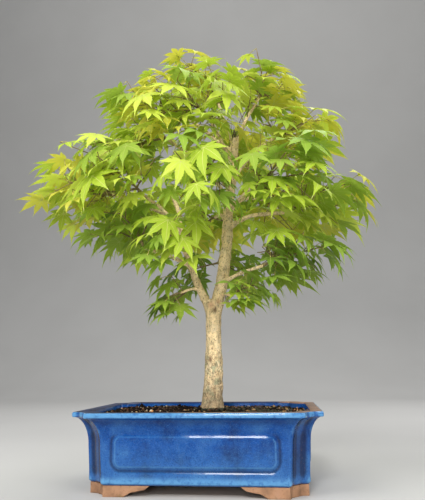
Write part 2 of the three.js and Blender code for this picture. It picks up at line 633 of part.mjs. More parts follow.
class Growth {
  constructor(mass, index, limbs, stretches) {
    this.mass = mass;
    this.random = seeded(SEED * (index + 1));
    this.inside = ownSpace(mass);
    this.stretches = stretches;
    this.carrier = limbs[mass.on];
    this.rods = [];
    this.twigs = [];
    this.leaves = [];
    this.grow();
  }

  clearOfLimbs(line, radius) {
    const [onLine, onLimb] = [new THREE.Vector3(), new THREE.Vector3()];
    return this.stretches.every((stretch) => {
      const gap = Math.sqrt(line.distanceSqToLine3(stretch.line, onLine, onLimb));
      return gap > stretch.radius + radius + LIMB_CLEARANCE;
    });
  }

  fits(leaf, stalk) {
    const { outline, stalkEnd, length } = leaf;
    if (!outline.every(this.inside)) return false;
    if (!this.clearOfLimbs(stalk, STALK_WIDTH)) return false;
    for (const other of this.leaves) {
      const apart = other.stalkEnd.distanceTo(stalkEnd);
      if (apart < LEAF_SPACING * length) return false;
      if (apart > length + other.length) continue;
      if (bladesCross(leaf, other) || pierces(stalk, other)) return false;
    }
    if (this.rods.some(({ from, to }) => pierces(new THREE.Line3(from, to), leaf))) return false;
    return outline.every((point, index) => {
      const next = outline[(index + 1) % LEAF_POINTS];
      return this.clearOfLimbs(new THREE.Line3(stalkEnd, point), 0)
        && this.clearOfLimbs(new THREE.Line3(point, next), 0);
    });
  }

  addLeaf(node, along, side) {
    const { random, mass } = this;
    const stalkLength = between(random, STALK_LENGTH);
    const fullLength = mass.leaf * (1 + LEAF_SIZE_SPREAD * (2 * random() - 1));
    for (const [spread, shrink] of LEAF_TRIES) {
      const stalkAlong = along.clone().multiplyScalar(Math.cos(radians(spread)))
        .addScaledVector(side, Math.sin(radians(spread)));
      const stalkEnd = node.clone().addScaledVector(stalkAlong, stalkLength * shrink);
      const leaf = placeLeaf(random, mass, stalkEnd, stalkAlong, fullLength * shrink);
      const stalk = new THREE.Line3(node.clone().lerp(stalkEnd, STALK_ROOTED), stalkEnd);
      if (this.fits(leaf, stalk)) {
        const crest = new THREE.Vector3(LEAF_CREST * leaf.length, 0, 0).applyMatrix4(leaf.place);
        this.rods.push({ from: node, to: crest, startWidth: STALK_WIDTH, endWidth: 0 });
        this.leaves.push(leaf);
        return;
      }
    }
  }

  addTwig(from, to) {
    const line = new THREE.Line3(from.clone().lerp(to, TWIG_ROOTED), to);
    if (!this.inside(from) || !this.inside(to) || !this.clearOfLimbs(line, TWIG_WIDTH)) return;
    this.rods.push({ from, to, startWidth: TWIG_WIDTH, endWidth: TWIG_END_WIDTH });
    this.twigs.push({ from, to });
  }

  // Leaves sit in opposite pairs, each pair turned a quarter from the one before.
  addLeafPairs({ from, to }) {
    const along = to.clone().sub(from).normalize();
    const level = new THREE.Vector3().crossVectors(UP, along).normalize();
    let turn = (this.random() - 0.5) * PAIR_TURN;
    for (const share of LEAF_NODES) {
      const node = from.clone().lerp(to, share);
      const side = level.clone().applyAxisAngle(along, turn);
      this.addLeaf(node, along, side);
      this.addLeaf(node, along, side.clone().negate());
      turn += Math.PI / 2;
    }
  }

  grow() {
    const { carrier, mass, random } = this;
    const tip = carrier.tip();
    const sunk = tip.clone().addScaledVector(carrier.curve.getTangentAt(1), -STEM_SUNK);
    const hub = tip.clone().lerp(vector(mass.heart), STEM_SHARE);
    const width = 2 * carrier.radiusAt(1);
    this.rods.push({ from: sunk, to: hub, startWidth: width, endWidth: width });
    reachPoints(mass, random).forEach((reach, index) => {
      const share = THREE.MathUtils.lerp(FIRST_TWIG, LAST_TWIG, (index + 1) / mass.twigs);
      this.addTwig(tip.clone().lerp(hub, share), reach);
    });
    this.twigs.forEach((twig) => this.addLeafPairs(twig));
  }

  solid() {
    const pieces = [...this.rods.map(rodGeometry), ...this.leaves.map(leafGeometry)];
    const joined = wasm.Manifold.union(pieces.map(asSolid));
    return mainBody(joined.subtract(this.carrier.solid(CLEARANCE)).simplify(SMALLEST_DETAIL));
  }
}

// The whole plant

function addMesh(group, name, solid, finish) {
  const material = new THREE.MeshStandardMaterial(FINISHES[finish]);
  const mesh = new THREE.Mesh(asGeometry(solid), material);
  mesh.name = name;
  group.add(mesh);
}

function buildPlant() {
  const group = new THREE.Group();
  const limbs = buildLimbs();
  const stretches = Object.values(limbs).flatMap((limb) => limb.stretches());
  addMesh(group, 'pot', potSolid(), 'glaze');
  for (const [name, solid] of Object.entries(footSolids())) addMesh(group, name, solid, 'clay');
  const soil = soilSolid();
  addMesh(group, 'soil', soil, 'soil');
  for (const [name, solid] of Object.entries(limbSolids(limbs, soil))) addMesh(group, name, solid, 'bark');
  MASSES.forEach((mass, index) => {
    const growth = new Growth(mass, index, limbs, stretches);
    addMesh(group, mass.name, growth.solid(), mass.tint);
  });
  return group;
}

// Puts the origin under the middle of the whole plant.
function centred(group) {
  const box = new THREE.Box3().setFromObject(group, true);
  const middle = box.getCenter(new THREE.Vector3());
  group.position.set(-middle.x, -middle.y, -box.min.z);
  return group;
}

export default centred(buildPlant());
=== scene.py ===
# Potted Japanese maple, grown as a bonsai in a rectangular glazed pot: the dressed model.
# Shapes are worked out in millimetres about the pot's middle, as the solids are, and are
# moved to the frame in metres when their meshes are made.

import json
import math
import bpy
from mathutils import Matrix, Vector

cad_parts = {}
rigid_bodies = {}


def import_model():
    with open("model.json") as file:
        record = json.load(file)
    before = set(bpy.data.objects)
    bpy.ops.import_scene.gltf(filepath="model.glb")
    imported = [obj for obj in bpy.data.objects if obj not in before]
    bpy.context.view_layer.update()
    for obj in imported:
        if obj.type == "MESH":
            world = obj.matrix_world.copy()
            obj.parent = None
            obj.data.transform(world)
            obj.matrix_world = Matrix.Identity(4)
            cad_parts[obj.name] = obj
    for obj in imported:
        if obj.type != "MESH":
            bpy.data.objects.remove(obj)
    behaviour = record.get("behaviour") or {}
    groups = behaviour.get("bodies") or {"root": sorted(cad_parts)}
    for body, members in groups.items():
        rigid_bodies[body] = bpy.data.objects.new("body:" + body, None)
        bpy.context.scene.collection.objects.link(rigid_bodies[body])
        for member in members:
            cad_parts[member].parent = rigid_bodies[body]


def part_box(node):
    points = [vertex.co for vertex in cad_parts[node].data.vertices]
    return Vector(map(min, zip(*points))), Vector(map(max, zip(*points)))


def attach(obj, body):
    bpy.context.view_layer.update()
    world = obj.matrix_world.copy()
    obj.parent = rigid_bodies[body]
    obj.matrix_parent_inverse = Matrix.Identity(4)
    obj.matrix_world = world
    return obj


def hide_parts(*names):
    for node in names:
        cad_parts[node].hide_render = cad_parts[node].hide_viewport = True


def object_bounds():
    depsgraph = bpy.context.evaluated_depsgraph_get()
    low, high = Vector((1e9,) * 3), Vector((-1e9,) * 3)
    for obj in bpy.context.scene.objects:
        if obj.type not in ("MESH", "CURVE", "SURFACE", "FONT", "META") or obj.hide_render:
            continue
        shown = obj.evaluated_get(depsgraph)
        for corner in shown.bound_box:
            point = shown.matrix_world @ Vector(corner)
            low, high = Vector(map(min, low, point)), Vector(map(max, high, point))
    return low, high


bl_info = {
    "name": "Potted Maple",
    "version": (1, 0, 0),
    "blender": (4, 5, 0),
    "location": "View3D > Sidebar > Maple",
    "description": "Builds a potted Japanese maple: glazed pot, soil, bark, twigs and leaves",
    "category": "Add Mesh",
}

import bmesh
import bpy
import numpy as np
from bpy.props import FloatProperty, FloatVectorProperty, IntProperty, PointerProperty
from mathutils import Matrix, Vector, noise

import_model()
CAD_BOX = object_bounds()

MM = 0.001
POT_LOW, POT_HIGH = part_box("pot")
MIDDLE = np.array([(POT_LOW.x + POT_HIGH.x) / 2, (POT_LOW.y + POT_HIGH.y) / 2, 0.0])

# Pot sizes, the same as the solids have
RIM_LENGTH = (POT_HIGH.x - POT_LOW.x) / MM
RIM_WIDTH = (POT_HIGH.y - POT_LOW.y) / MM
POT_HEIGHT = POT_HIGH.z / MM
FOOT_HEIGHT = POT_LOW.z / MM
CORNER_NOTCH = 19
NOTCH_STEP = 8
NOTCH_SPLAY = 2.5
LIP_HEIGHT = 5
WALL_SET_IN = 15.2
WALL_LEAN = 1.8
COVE_START = 47
RIM_THICKNESS = 11
WALL_THICKNESS = 8
PANEL_LOW = 27
PANEL_HIGH = 59
PANEL_CORNER = 8
PANEL_SIDE_MARGIN = 12
SOIL_EDGE = 75
SOIL_SLOPE = ((26, 76.8), (58, 77.4))
SOIL_MOUND = 1.6
SOIL_MOUND_REACH = 26
SOIL_LUMP = 2.6
SOIL_LUMP_SPACING = 26

# How far the soil's bed lies under the solid's top, so that its grains reach that top
GRAIN_BED = 1.3

# Where the trunk, leader and left bough run: x, y, z and diameter, from root to tip
MAIN_LIMBS = {
    "trunk": [
        (8.4, 0, 70, 24.6), (9.2, 0, 88, 22.4), (11, 0, 118, 21.4), (11, 0, 137, 19.6),
        (11.2, 0, 157, 17.4), (11.4, 0, 178, 17.2), (11.6, 0, 191, 19.8), (12, 0, 203, 20.6),
    ],
    "leader": [
        (14.5, 0, 192, 15.6), (18.4, 0, 208, 15), (23.4, 1, 231, 14.4), (26.3, 2, 254, 13.8),
        (29.4, 3, 282, 12.6), (30.5, 4, 313, 12), (36, 5, 354, 11.2), (40, 6, 394, 10.4),
        (40.6, 6, 409, 10.2),
    ],
    "left_bough": [
        (8, 0, 188, 11), (2.6, -0.5, 203, 10.2), (-7.7, -2, 224, 8.6), (-18, -6, 261, 6.8),
        (-24, -8, 284, 6.2), (-28, -9, 308, 5.6), (-38, -8, 338, 4.8),
    ],
}

TRUNK_X = MAIN_LIMBS["trunk"][0][0]

# Side limbs: carrier, height where each leaves it, tip, diameters at root and tip, and arch
SIDE_LIMBS = {
    "bough_right_low": ("leader", 224, (72, -24, 238), (4.6, 3.4), 1),
    "bough_right_mid": ("leader", 290, (104, -8, 306), (5.6, 3.8), 8),
    "bough_right_front": ("leader", 303, (68, -52, 326), (5, 3.6), 6),
    "bough_right_back": ("leader", 318, (78, 68, 346), (5.2, 3.6), 7),
    "bough_back": ("leader", 298, (6, 82, 328), (5.2, 3.6), 7),
    "bough_back_low": ("leader", 250, (14, 48, 262), (4.6, 3.4), 5),
    "bough_front": ("leader", 322, (16, -74, 336), (5, 3.6), 4),
    "bough_right_upper": ("leader", 354, (92, -10, 402), (5, 3.6), 6),
    "bough_left_upper": ("leader", 344, (-48, -6, 412), (5.2, 3.6), 3),
    "bough_upper_front": ("leader", 364, (12, -58, 416), (4.8, 3.4), 7),
    "bough_upper_back": ("leader", 372, (28, 62, 420), (4.8, 3.4), 6),
    "shoot_top": ("leader", 400, (18, -3, 466), (4.6, 3.4), 0),
    "shoot_top_right": ("leader", 398, (74, 2, 462), (4.4, 3.4), 3),
    "shoot_top_left": ("leader", 388, (-36, 6, 454), (4.6, 3.4), 3),
    "bough_left_outer": ("left_bough", 300, (-116, 0, 340), (5.2, 3.8), 3),
    "bough_left_front": ("left_bough", 279, (-62, -60, 320), (4.6, 3.4), 6),
    "bough_left_back": ("left_bough", 259, (-72, 66, 312), (5, 3.6), 4),
    "bough_left_low": ("left_bough", 244, (-64, -36, 262), (4.6, 3.4), 3),
    "bough_centre_low": ("left_bough", 253, (-9, -54, 264), (4.2, 3.2), 3),
    "sprig_low_left": ("left_bough", 215, (-24, -24, 210), (3.4, 2.8), 2),
    "sprig_low_right": ("leader", 209, (36, -26, 204), (3.4, 2.8), 1),
}
ARCH_AT = 0.45
LIMB_STEP = 28

# Foliage masses: limb, heart, spread, twigs, leaf length, hang and palette. All but the
# palette are the solids' values; the palette only deals out colours.
MASSES = {
    "foliage_top": ("shoot_top", (2, -2, 499), (36, 28, 12), 5, 35, 8, "gold"),
    "foliage_top_right": ("shoot_top_right", (78, 0, 474), (26, 42, 16), 5, 38, 16, "gold"),
    "foliage_top_left": ("shoot_top_left", (-72, 2, 456), (28, 42, 14), 5, 37, 14, "lime"),
    "foliage_left_upper": ("bough_left_upper", (-102, -10, 398), (30, 44, 14), 5, 40, 18, "lime"),
    "foliage_upper_front": ("bough_upper_front", (2, -88, 414), (46, 16, 28), 5, 38, 28, "lime"),
    "foliage_upper_back": ("bough_upper_back", (22, 94, 428), (42, 22, 28), 4, 40, 24, "lime"),
    "foliage_right_upper": ("bough_right_upper", (104, -12, 402), (26, 42, 20), 5, 40, 22, "gold"),
    "foliage_left_outer": ("bough_left_outer", (-152, -4, 344), (24, 46, 18), 5, 39, 22, "gold"),
    "foliage_left_front": ("bough_left_front", (-80, -88, 338), (42, 18, 30), 6, 41, 30, "lime"),
    "foliage_front": ("bough_front", (12, -114, 322), (38, 14, 30), 5, 41, 40, "fresh"),
    "foliage_right_front": ("bough_right_front", (94, -83, 332), (34, 18, 32), 6, 40, 32, "fresh"),
    "foliage_right_outer": ("bough_right_mid", (142, -2, 326), (26, 44, 11), 5, 41, 26, "lime"),
    "foliage_right_back": ("bough_right_back", (98, 96, 346), (40, 28, 32), 4, 40, 30, "lime"),
    "foliage_back": ("bough_back", (-4, 120, 334), (44, 18, 34), 5, 42, 34, "lime"),
    "foliage_left_back": ("bough_left_back", (-96, 92, 334), (38, 30, 32), 5, 40, 30, "lime"),
    "foliage_left_low": ("bough_left_low", (-76, -34, 292), (24, 30, 10), 4, 40, 38, "green"),
    "foliage_centre_low": ("bough_centre_low", (-24, -80, 264), (26, 12, 10), 3, 34, 40, "fresh"),
    "foliage_right_low": ("bough_right_low", (102, -26, 254), (30, 32, 9), 4, 37, 28, "green"),
    "foliage_back_low": ("bough_back_low", (8, 74, 254), (36, 18, 10), 3, 36, 34, "green"),
    "foliage_low_left": ("sprig_low_left", (-34, -36, 206), (6, 6, 4), 1, 31, 22, "green"),
    "foliage_low_right": ("sprig_low_right", (52, -38, 212), (10, 10, 4), 2, 31, 26, "fresh"),
}

# The rule that twigs and leaves grow by, with the source's values
LEAF_LOBES = ((0, 1.0), (38, 0.92), (78, 0.7), (124, 0.4))
LEAF_SINUSES = ((19, 0.42), (58, 0.38), (100, 0.28), (180, 0.06))
LEAF_POINTS = 14
LEAF_DROOP = 0.22
LEAF_CREST = 0.12
STALK_LENGTH = (12, 24)
STALK_WIDTH = 1.1
ROLL = 26
HANG_SPREAD = 22
LEAF_SIZE_SPREAD = 0.22
LEAF_TRIES = ((58, 1), (96, 0.9), (24, 0.9), (128, 0.8), (70, 0.75))
LEAF_NODES = (0.95, 0.5)
PAIR_TURN = 0.8
STALK_PULL = 1.4
TWIG_WIDTH = 2.5
TWIG_ROOTED = 0.2
STALK_ROOTED = 0.3
STEM_SHARE = 0.5
STEM_SUNK = 2
FIRST_TWIG = 0.35
LAST_TWIG = 0.95
GOLDEN_ANGLE = 137.5
CELL_MARGIN = 0.3
LIMB_CLEARANCE = 2
LOWEST_LEAF = 92
LEAF_SPACING = 0.6
SEED = 303

UP = np.array([0.0, 0.0, 1.0])


# Curves and limbs

def vec(values):
    return np.array(values, float)


def unit(vector):
    return vector / np.linalg.norm(vector)


class Curve:
    """A centripetal spline through points, measured along its length."""

    SAMPLES = 200
    NUDGE = 1e-4

    def __init__(self, points):
        self.points = [vec(point) for point in points]
        self.times = np.linspace(0, 1, self.SAMPLES + 1)
        spots = np.array([self.at_time(time) for time in self.times])
        steps = np.linalg.norm(np.diff(spots, axis=0), axis=1)
        self.lengths = np.concatenate([[0], np.cumsum(steps)])

    def at_time(self, time):
        points = self.points
        last = len(points) - 1
        whole = min(int(last * time), last - 1)
        part = last * time - whole
        a = points[whole - 1] if whole > 0 else 2 * points[0] - points[1]
        b, c = points[whole], points[whole + 1]
        d = points[whole + 2] if whole + 2 <= last else 2 * points[last] - points[last - 1]
        gaps = ((a, b), (b, c), (c, d))
        before, within, after = (max(np.sum((q - p) ** 2) ** 0.25, 1e-9) for p, q in gaps)
        start = within * ((b - a) / before - (c - a) / (before + within) + (c - b) / within)
        end = within * ((c - b) / within - (d - b) / (within + after) + (d - c) / after)
        square = 3 * (c - b) - 2 * start - end
        cube = 2 * (b - c) + start + end
        return b + part * (start + part * (square + part * cube))

    def time(self, share):
        return np.interp(share * self.lengths[-1], self.lengths, self.times)

    def at(self, share):
        return self.at_time(self.time(share))

    def heading(self, share):
        time = self.time(share)
        return unit(self.at_time(min(time + self.NUDGE, 1)) - self.at_time(max(time - self.NUDGE, 0)))


class Limb:
    """One tapering limb: its middle line and its diameters."""

    def __init__(self, points, widths):
        self.curve = Curve(points)
        self.widths = widths
        gaps = np.linalg.norm(np.diff(np.array(self.curve.points), axis=0), axis=1)
        self.shares = np.concatenate([[0], np.cumsum(gaps)]) / gaps.sum()
        self.length = gaps.sum()
        self.steps = max(3, math.floor(self.length / LIMB_STEP + 0.5))

    def radius(self, share):
        return np.interp(share, self.shares, self.widths) / 2

    def at_height(self, height):
        points = self.curve.points
        i = 1
        while i < len(points) - 1 and points[i][2] < height:
            i += 1
        share = (height - points[i - 1][2]) / (points[i][2] - points[i - 1][2])
        return points[i - 1] + share * (points[i] - points[i - 1])

    def stretches(self):
        """Short straight stretches as start, end and radius, to keep foliage away from."""
        pieces = 2 * self.steps
        spots = [self.curve.at(i / pieces) for i in range(pieces + 1)]
        return [(spots[i], spots[i + 1], self.radius(i / pieces)) for i in range(pieces)]


def grow_limbs():
    limbs = {}
    for name, through in MAIN_LIMBS.items():
        limbs[name] = Limb([point[:3] for point in through], [point[3] for point in through])
    for name, (carrier, leaves, tip, widths, arch) in SIDE_LIMBS.items():
        root = limbs[carrier].at_height(leaves)
        middle = root + ARCH_AT * (vec(tip) - root) + arch * UP
        middle_width = widths[0] + ARCH_AT * (widths[1] - widths[0])
        limbs[name] = Limb([root, middle, tip], [widths[0], middle_width, widths[1]])
    return limbs


# Seeded growth of twigs and leaves

class Draws:
    """The same seeded stream of numbers from 0 to 1 as the solids were grown with."""

    MASK = 0xFFFFFFFF
    STEP = 0x6D2B79F5
    RANGE = 4294967296

    def __init__(self, seed):
        self.state = seed & self.MASK

    def __call__(self, low=0.0, high=1.0):
        self.state = (self.state + self.STEP) & self.MASK
        t = ((self.state ^ (self.state >> 15)) * (self.state | 1)) & self.MASK
        t = ((t + (((t ^ (t >> 7)) * (t | 61)) & self.MASK)) & self.MASK) ^ t
        return low + (high - low) * ((t ^ (t >> 14)) & self.MASK) / self.RANGE


class Space:
    """A mass's own space: what lies nearer to its heart than to any other mass's."""

    def __init__(self, name):
        heart = vec(MASSES[name][1])
        others = [vec(MASSES[other][1]) for other in MASSES if other != name]
        self.normals = np.array([unit(heart - other) for other in others])
        middles = np.array([(heart + other) / 2 for other in others])
        self.offsets = -np.sum(self.normals * middles, axis=1) - CELL_MARGIN

    def holds(self, points, slack=0.0):
        points = np.atleast_2d(points)
        distances = points @ self.normals.T + self.offsets
        return bool(np.all(distances > -slack) and np.all(points[:, 2] > LOWEST_LEAF))


class Leaf:
    """A leaf's place: its stalk's end, its three directions, its length and its outline."""

    def __init__(self, base, axes, length):
        self.base = base
        self.axes = axes
        self.length = length
        self.outline = base + LEAF_STAR * length @ axes
        self.crest = base + LEAF_CREST * length * axes[0]


def star_outline():
    """The outline of a leaf of length one, as the solids have it."""
    points = []
    for index in range(LEAF_POINTS):
        step = min(index, LEAF_POINTS - index)
        side = 1 if index <= LEAF_POINTS / 2 else -1
        degrees, reach = LEAF_LOBES[step // 2] if step % 2 == 0 else LEAF_SINUSES[(step - 1) // 2]
        angle = math.radians(degrees) * side
        points.append((reach * math.cos(angle), reach * math.sin(angle), -LEAF_DROOP * reach * reach))
    return np.array(points)


LEAF_STAR = star_outline()


def blade_crossed(starts, ends, leaf):
    """Whether any straight line from starts to ends goes through a leaf's blade."""
    starts, ends = np.atleast_2d(starts), np.atleast_2d(ends)
    ways = ends - starts
    edge = leaf.outline - leaf.base
    following = np.roll(leaf.outline, -1, axis=0) - leaf.base
    normals = np.cross(edge, following)
    facing = -ways @ normals.T
    away = starts - leaf.base
    safe = np.where(np.abs(facing) < 1e-12, 1e-12, facing)
    time = (away @ normals.T) / safe
    sweep = np.cross(away, ways)
    u = (sweep @ following.T) / safe
    v = -(sweep @ edge.T) / safe
    hit = (time >= 0) & (time < 1) & (u >= 0) & (v >= 0) & (u + v <= 1) & (np.abs(facing) > 1e-12)
    return bool(hit.any())


def blades_cross(leaf, other):
    around, beyond = np.roll(leaf.outline, -1, axis=0), np.roll(other.outline, -1, axis=0)
    return blade_crossed(leaf.outline, around, other) or blade_crossed(other.outline, beyond, leaf)


def line_gaps(starts, ends, stretch_starts, stretch_ends):
    """The least distance from each line to each stretch, as a table."""
    d1 = (ends - starts)[:, None, :]
    d2 = (stretch_ends - stretch_starts)[None, :, :]
    r = starts[:, None, :] - stretch_starts[None, :, :]
    a, e = np.sum(d1 * d1, -1), np.sum(d2 * d2, -1)
    b, c, f = np.sum(d1 * d2, -1), np.sum(d1 * r, -1), np.sum(d2 * r, -1)
    whole = a * e - b * b
    s = np.clip(np.where(whole > 1e-12, (b * f - c * e) / np.maximum(whole, 1e-12), 0), 0, 1)
    t = (b * s + f) / e
    s = np.where(t < 0, np.clip(-c / a, 0, 1), np.where(t > 1, np.clip((b - c) / a, 0, 1), s))
    t = np.clip(t, 0, 1)
    return np.linalg.norm(r + d1 * s[..., None] - d2 * t[..., None], axis=-1)


class Twigs:
    """All the twigs, stalks and leaves of one mass."""

    def __init__(self, name, index, limbs, stretches):
        limb, heart, spread, twigs, leaf, hang, palette = MASSES[name]
        self.name = name
        self.carrier = limbs[limb]
        self.heart, self.spread, self.twig_count = vec(heart), spread, twigs
        self.leaf_length, self.hang, self.palette = leaf, hang, palette
        self.draw = Draws(SEED * (index + 1))
        self.space = Space(name)
        self.stretch_starts = np.array([stretch[0] for stretch in stretches])
        self.stretch_ends = np.array([stretch[1] for stretch in stretches])
        self.stretch_radii = np.array([stretch[2] for stretch in stretches])
        self.rods = []
        self.stem = None
        self.twigs = []
        self.stalks = []
        self.leaves = []
        self.sprays = []

    def clear_of_limbs(self, starts, ends, radius):
        starts, ends = np.atleast_2d(starts), np.atleast_2d(ends)
        gaps = line_gaps(starts, ends, self.stretch_starts, self.stretch_ends)
        return bool(np.all(gaps > self.stretch_radii + radius + LIMB_CLEARANCE))

    def place_leaf(self, base, along, length):
        outward = unit(vec((base[0], base[1], 0)))
        ahead = unit(STALK_PULL * vec((along[0], along[1], 0)) + outward)
        hang = math.radians(self.hang + HANG_SPREAD * (2 * self.draw() - 1))
        roll = math.radians(ROLL * (2 * self.draw() - 1))
        midrib = math.cos(hang) * ahead - math.sin(hang) * UP
        level = unit(np.cross(UP, ahead))
        across = turned(level, midrib, roll)
        return Leaf(base, np.array([midrib, across, np.cross(midrib, across)]), length)

    def fits(self, leaf, stalk_start, spacing, slack, others):
        if not self.space.holds(leaf.outline, slack):
            return False
        if not self.clear_of_limbs(stalk_start, leaf.base, STALK_WIDTH):
            return False
        for other in others:
            apart = np.linalg.norm(other.base - leaf.base)
            if apart < spacing * leaf.length:
                return False
            if apart > leaf.length + other.length:
                continue
            if blades_cross(leaf, other) or blade_crossed(stalk_start, leaf.base, other):
                return False
        starts, ends = np.array([rod[0] for rod in self.rods]), np.array([rod[1] for rod in self.rods])
        if blade_crossed(starts, ends, leaf):
            return False
        ribs = np.repeat(leaf.base[None, :], LEAF_POINTS, axis=0)
        around = np.roll(leaf.outline, -1, axis=0)
        starts, ends = np.vstack([ribs, leaf.outline]), np.vstack([leaf.outline, around])
        return self.clear_of_limbs(starts, ends, 0)

    def add_leaf(self, node, along, side, spray, size=1.0, spacing=LEAF_SPACING, slack=0.0, others=None):
        stalk_length = self.draw(*STALK_LENGTH)
        full_length = size * self.leaf_length * (1 + LEAF_SIZE_SPREAD * (2 * self.draw() - 1))
        for spread, shrink in LEAF_TRIES:
            angle = math.radians(spread)
            stalk_along = math.cos(angle) * along + math.sin(angle) * side
            base = node + stalk_along * stalk_length * shrink
            leaf = self.place_leaf(base, stalk_along, full_length * shrink)
            stalk_start = node + STALK_ROOTED * (base - node)
            if self.fits(leaf, stalk_start, spacing, slack, self.leaves if others is None else others):
                self.rods.append((node, leaf.crest))
                self.stalks.append((node, leaf))
                self.leaves.append(leaf)
                self.sprays.append(spray)
                return

    def add_twig(self, start, end):
        rooted = start + TWIG_ROOTED * (end - start)
        inside = self.space.holds(np.array([start, end]))
        if inside and self.clear_of_limbs(rooted, end, TWIG_WIDTH):
            self.rods.append((start, end))
            self.twigs.append((start, end))

    def add_leaf_pairs(self, start, end, spray):
        along = unit(end - start)
        level = unit(np.cross(UP, along))
        turn = (self.draw() - 0.5) * PAIR_TURN
        for share in LEAF_NODES:
            node = start + share * (end - start)
            side = turned(level, along, turn)
            self.add_leaf(node, along, side, spray)
            self.add_leaf(node, along, -side, spray)
            turn += math.pi / 2

    def grow(self):
        tip = self.carrier.curve.at(1)
        sunk = tip - STEM_SUNK * self.carrier.curve.heading(1)
        hub = tip + STEM_SHARE * (self.heart - tip)
        self.stem = (sunk, hub, 2 * self.carrier.radius(1))
        self.rods.append((sunk, hub))
        for index, reach in enumerate(self.reach_points()):
            share = FIRST_TWIG + (LAST_TWIG - FIRST_TWIG) * (index + 1) / self.twig_count
            self.add_twig(tip + share * (hub - tip), reach)
        for spray, (start, end) in enumerate(self.twigs):
            self.add_leaf_pairs(start, end, spray)

    def reach_points(self):
        phase = 360 * self.draw()
        points = []
        for index in range(self.twig_count):
            turn = math.radians(phase + index * GOLDEN_ANGLE)
            rise = (2 * index + 1) / self.twig_count - 1
            points.append(self.heart + vec(self.spread) * (math.cos(turn), math.sin(turn), rise))
        return points


def turned(vector, axis, angle):
    """The vector turned about an axis by the right-hand rule."""
    cos, sin = math.cos(angle), math.sin(angle)
    return vector * cos + np.cross(axis, vector) * sin + axis * np.dot(axis, vector) * (1 - cos)


# Finer growth, which only the dressed model has

FINE_NODES = (0.08, 0.3, 0.52, 0.74, 0.94)
FINE_LENGTH = (0.5, 0.85)
FINE_WIDTH = 1.2
FINE_ANGLE = 48
FINE_SLACK = 26
FINE_SPACING = 0.4
FINE_SIZE = (0.78, 1.14)
FINE_TRIES = (*LEAF_TRIES, (38, 0.7), (112, 0.62))
LIMB_SPROUTS = 4
FORK_WINDOW_LOW = 170
FORK_WINDOW_HIGH = 262
FORK_WINDOW_HALF = 20
FORK_WINDOW_MIDDLE = 4
CROWN_MARGIN = 4
REACH_MARGIN = 6
NEAR_LEAVES = 120
SPROUTS_FROM = 0.45
SPROUTS_SPAN = 0.5
SPROUT_SIDEWAYS = 1.2
SPROUT_LENGTH = 34
SPROUT_SPREAD = (0.7, 1.2)


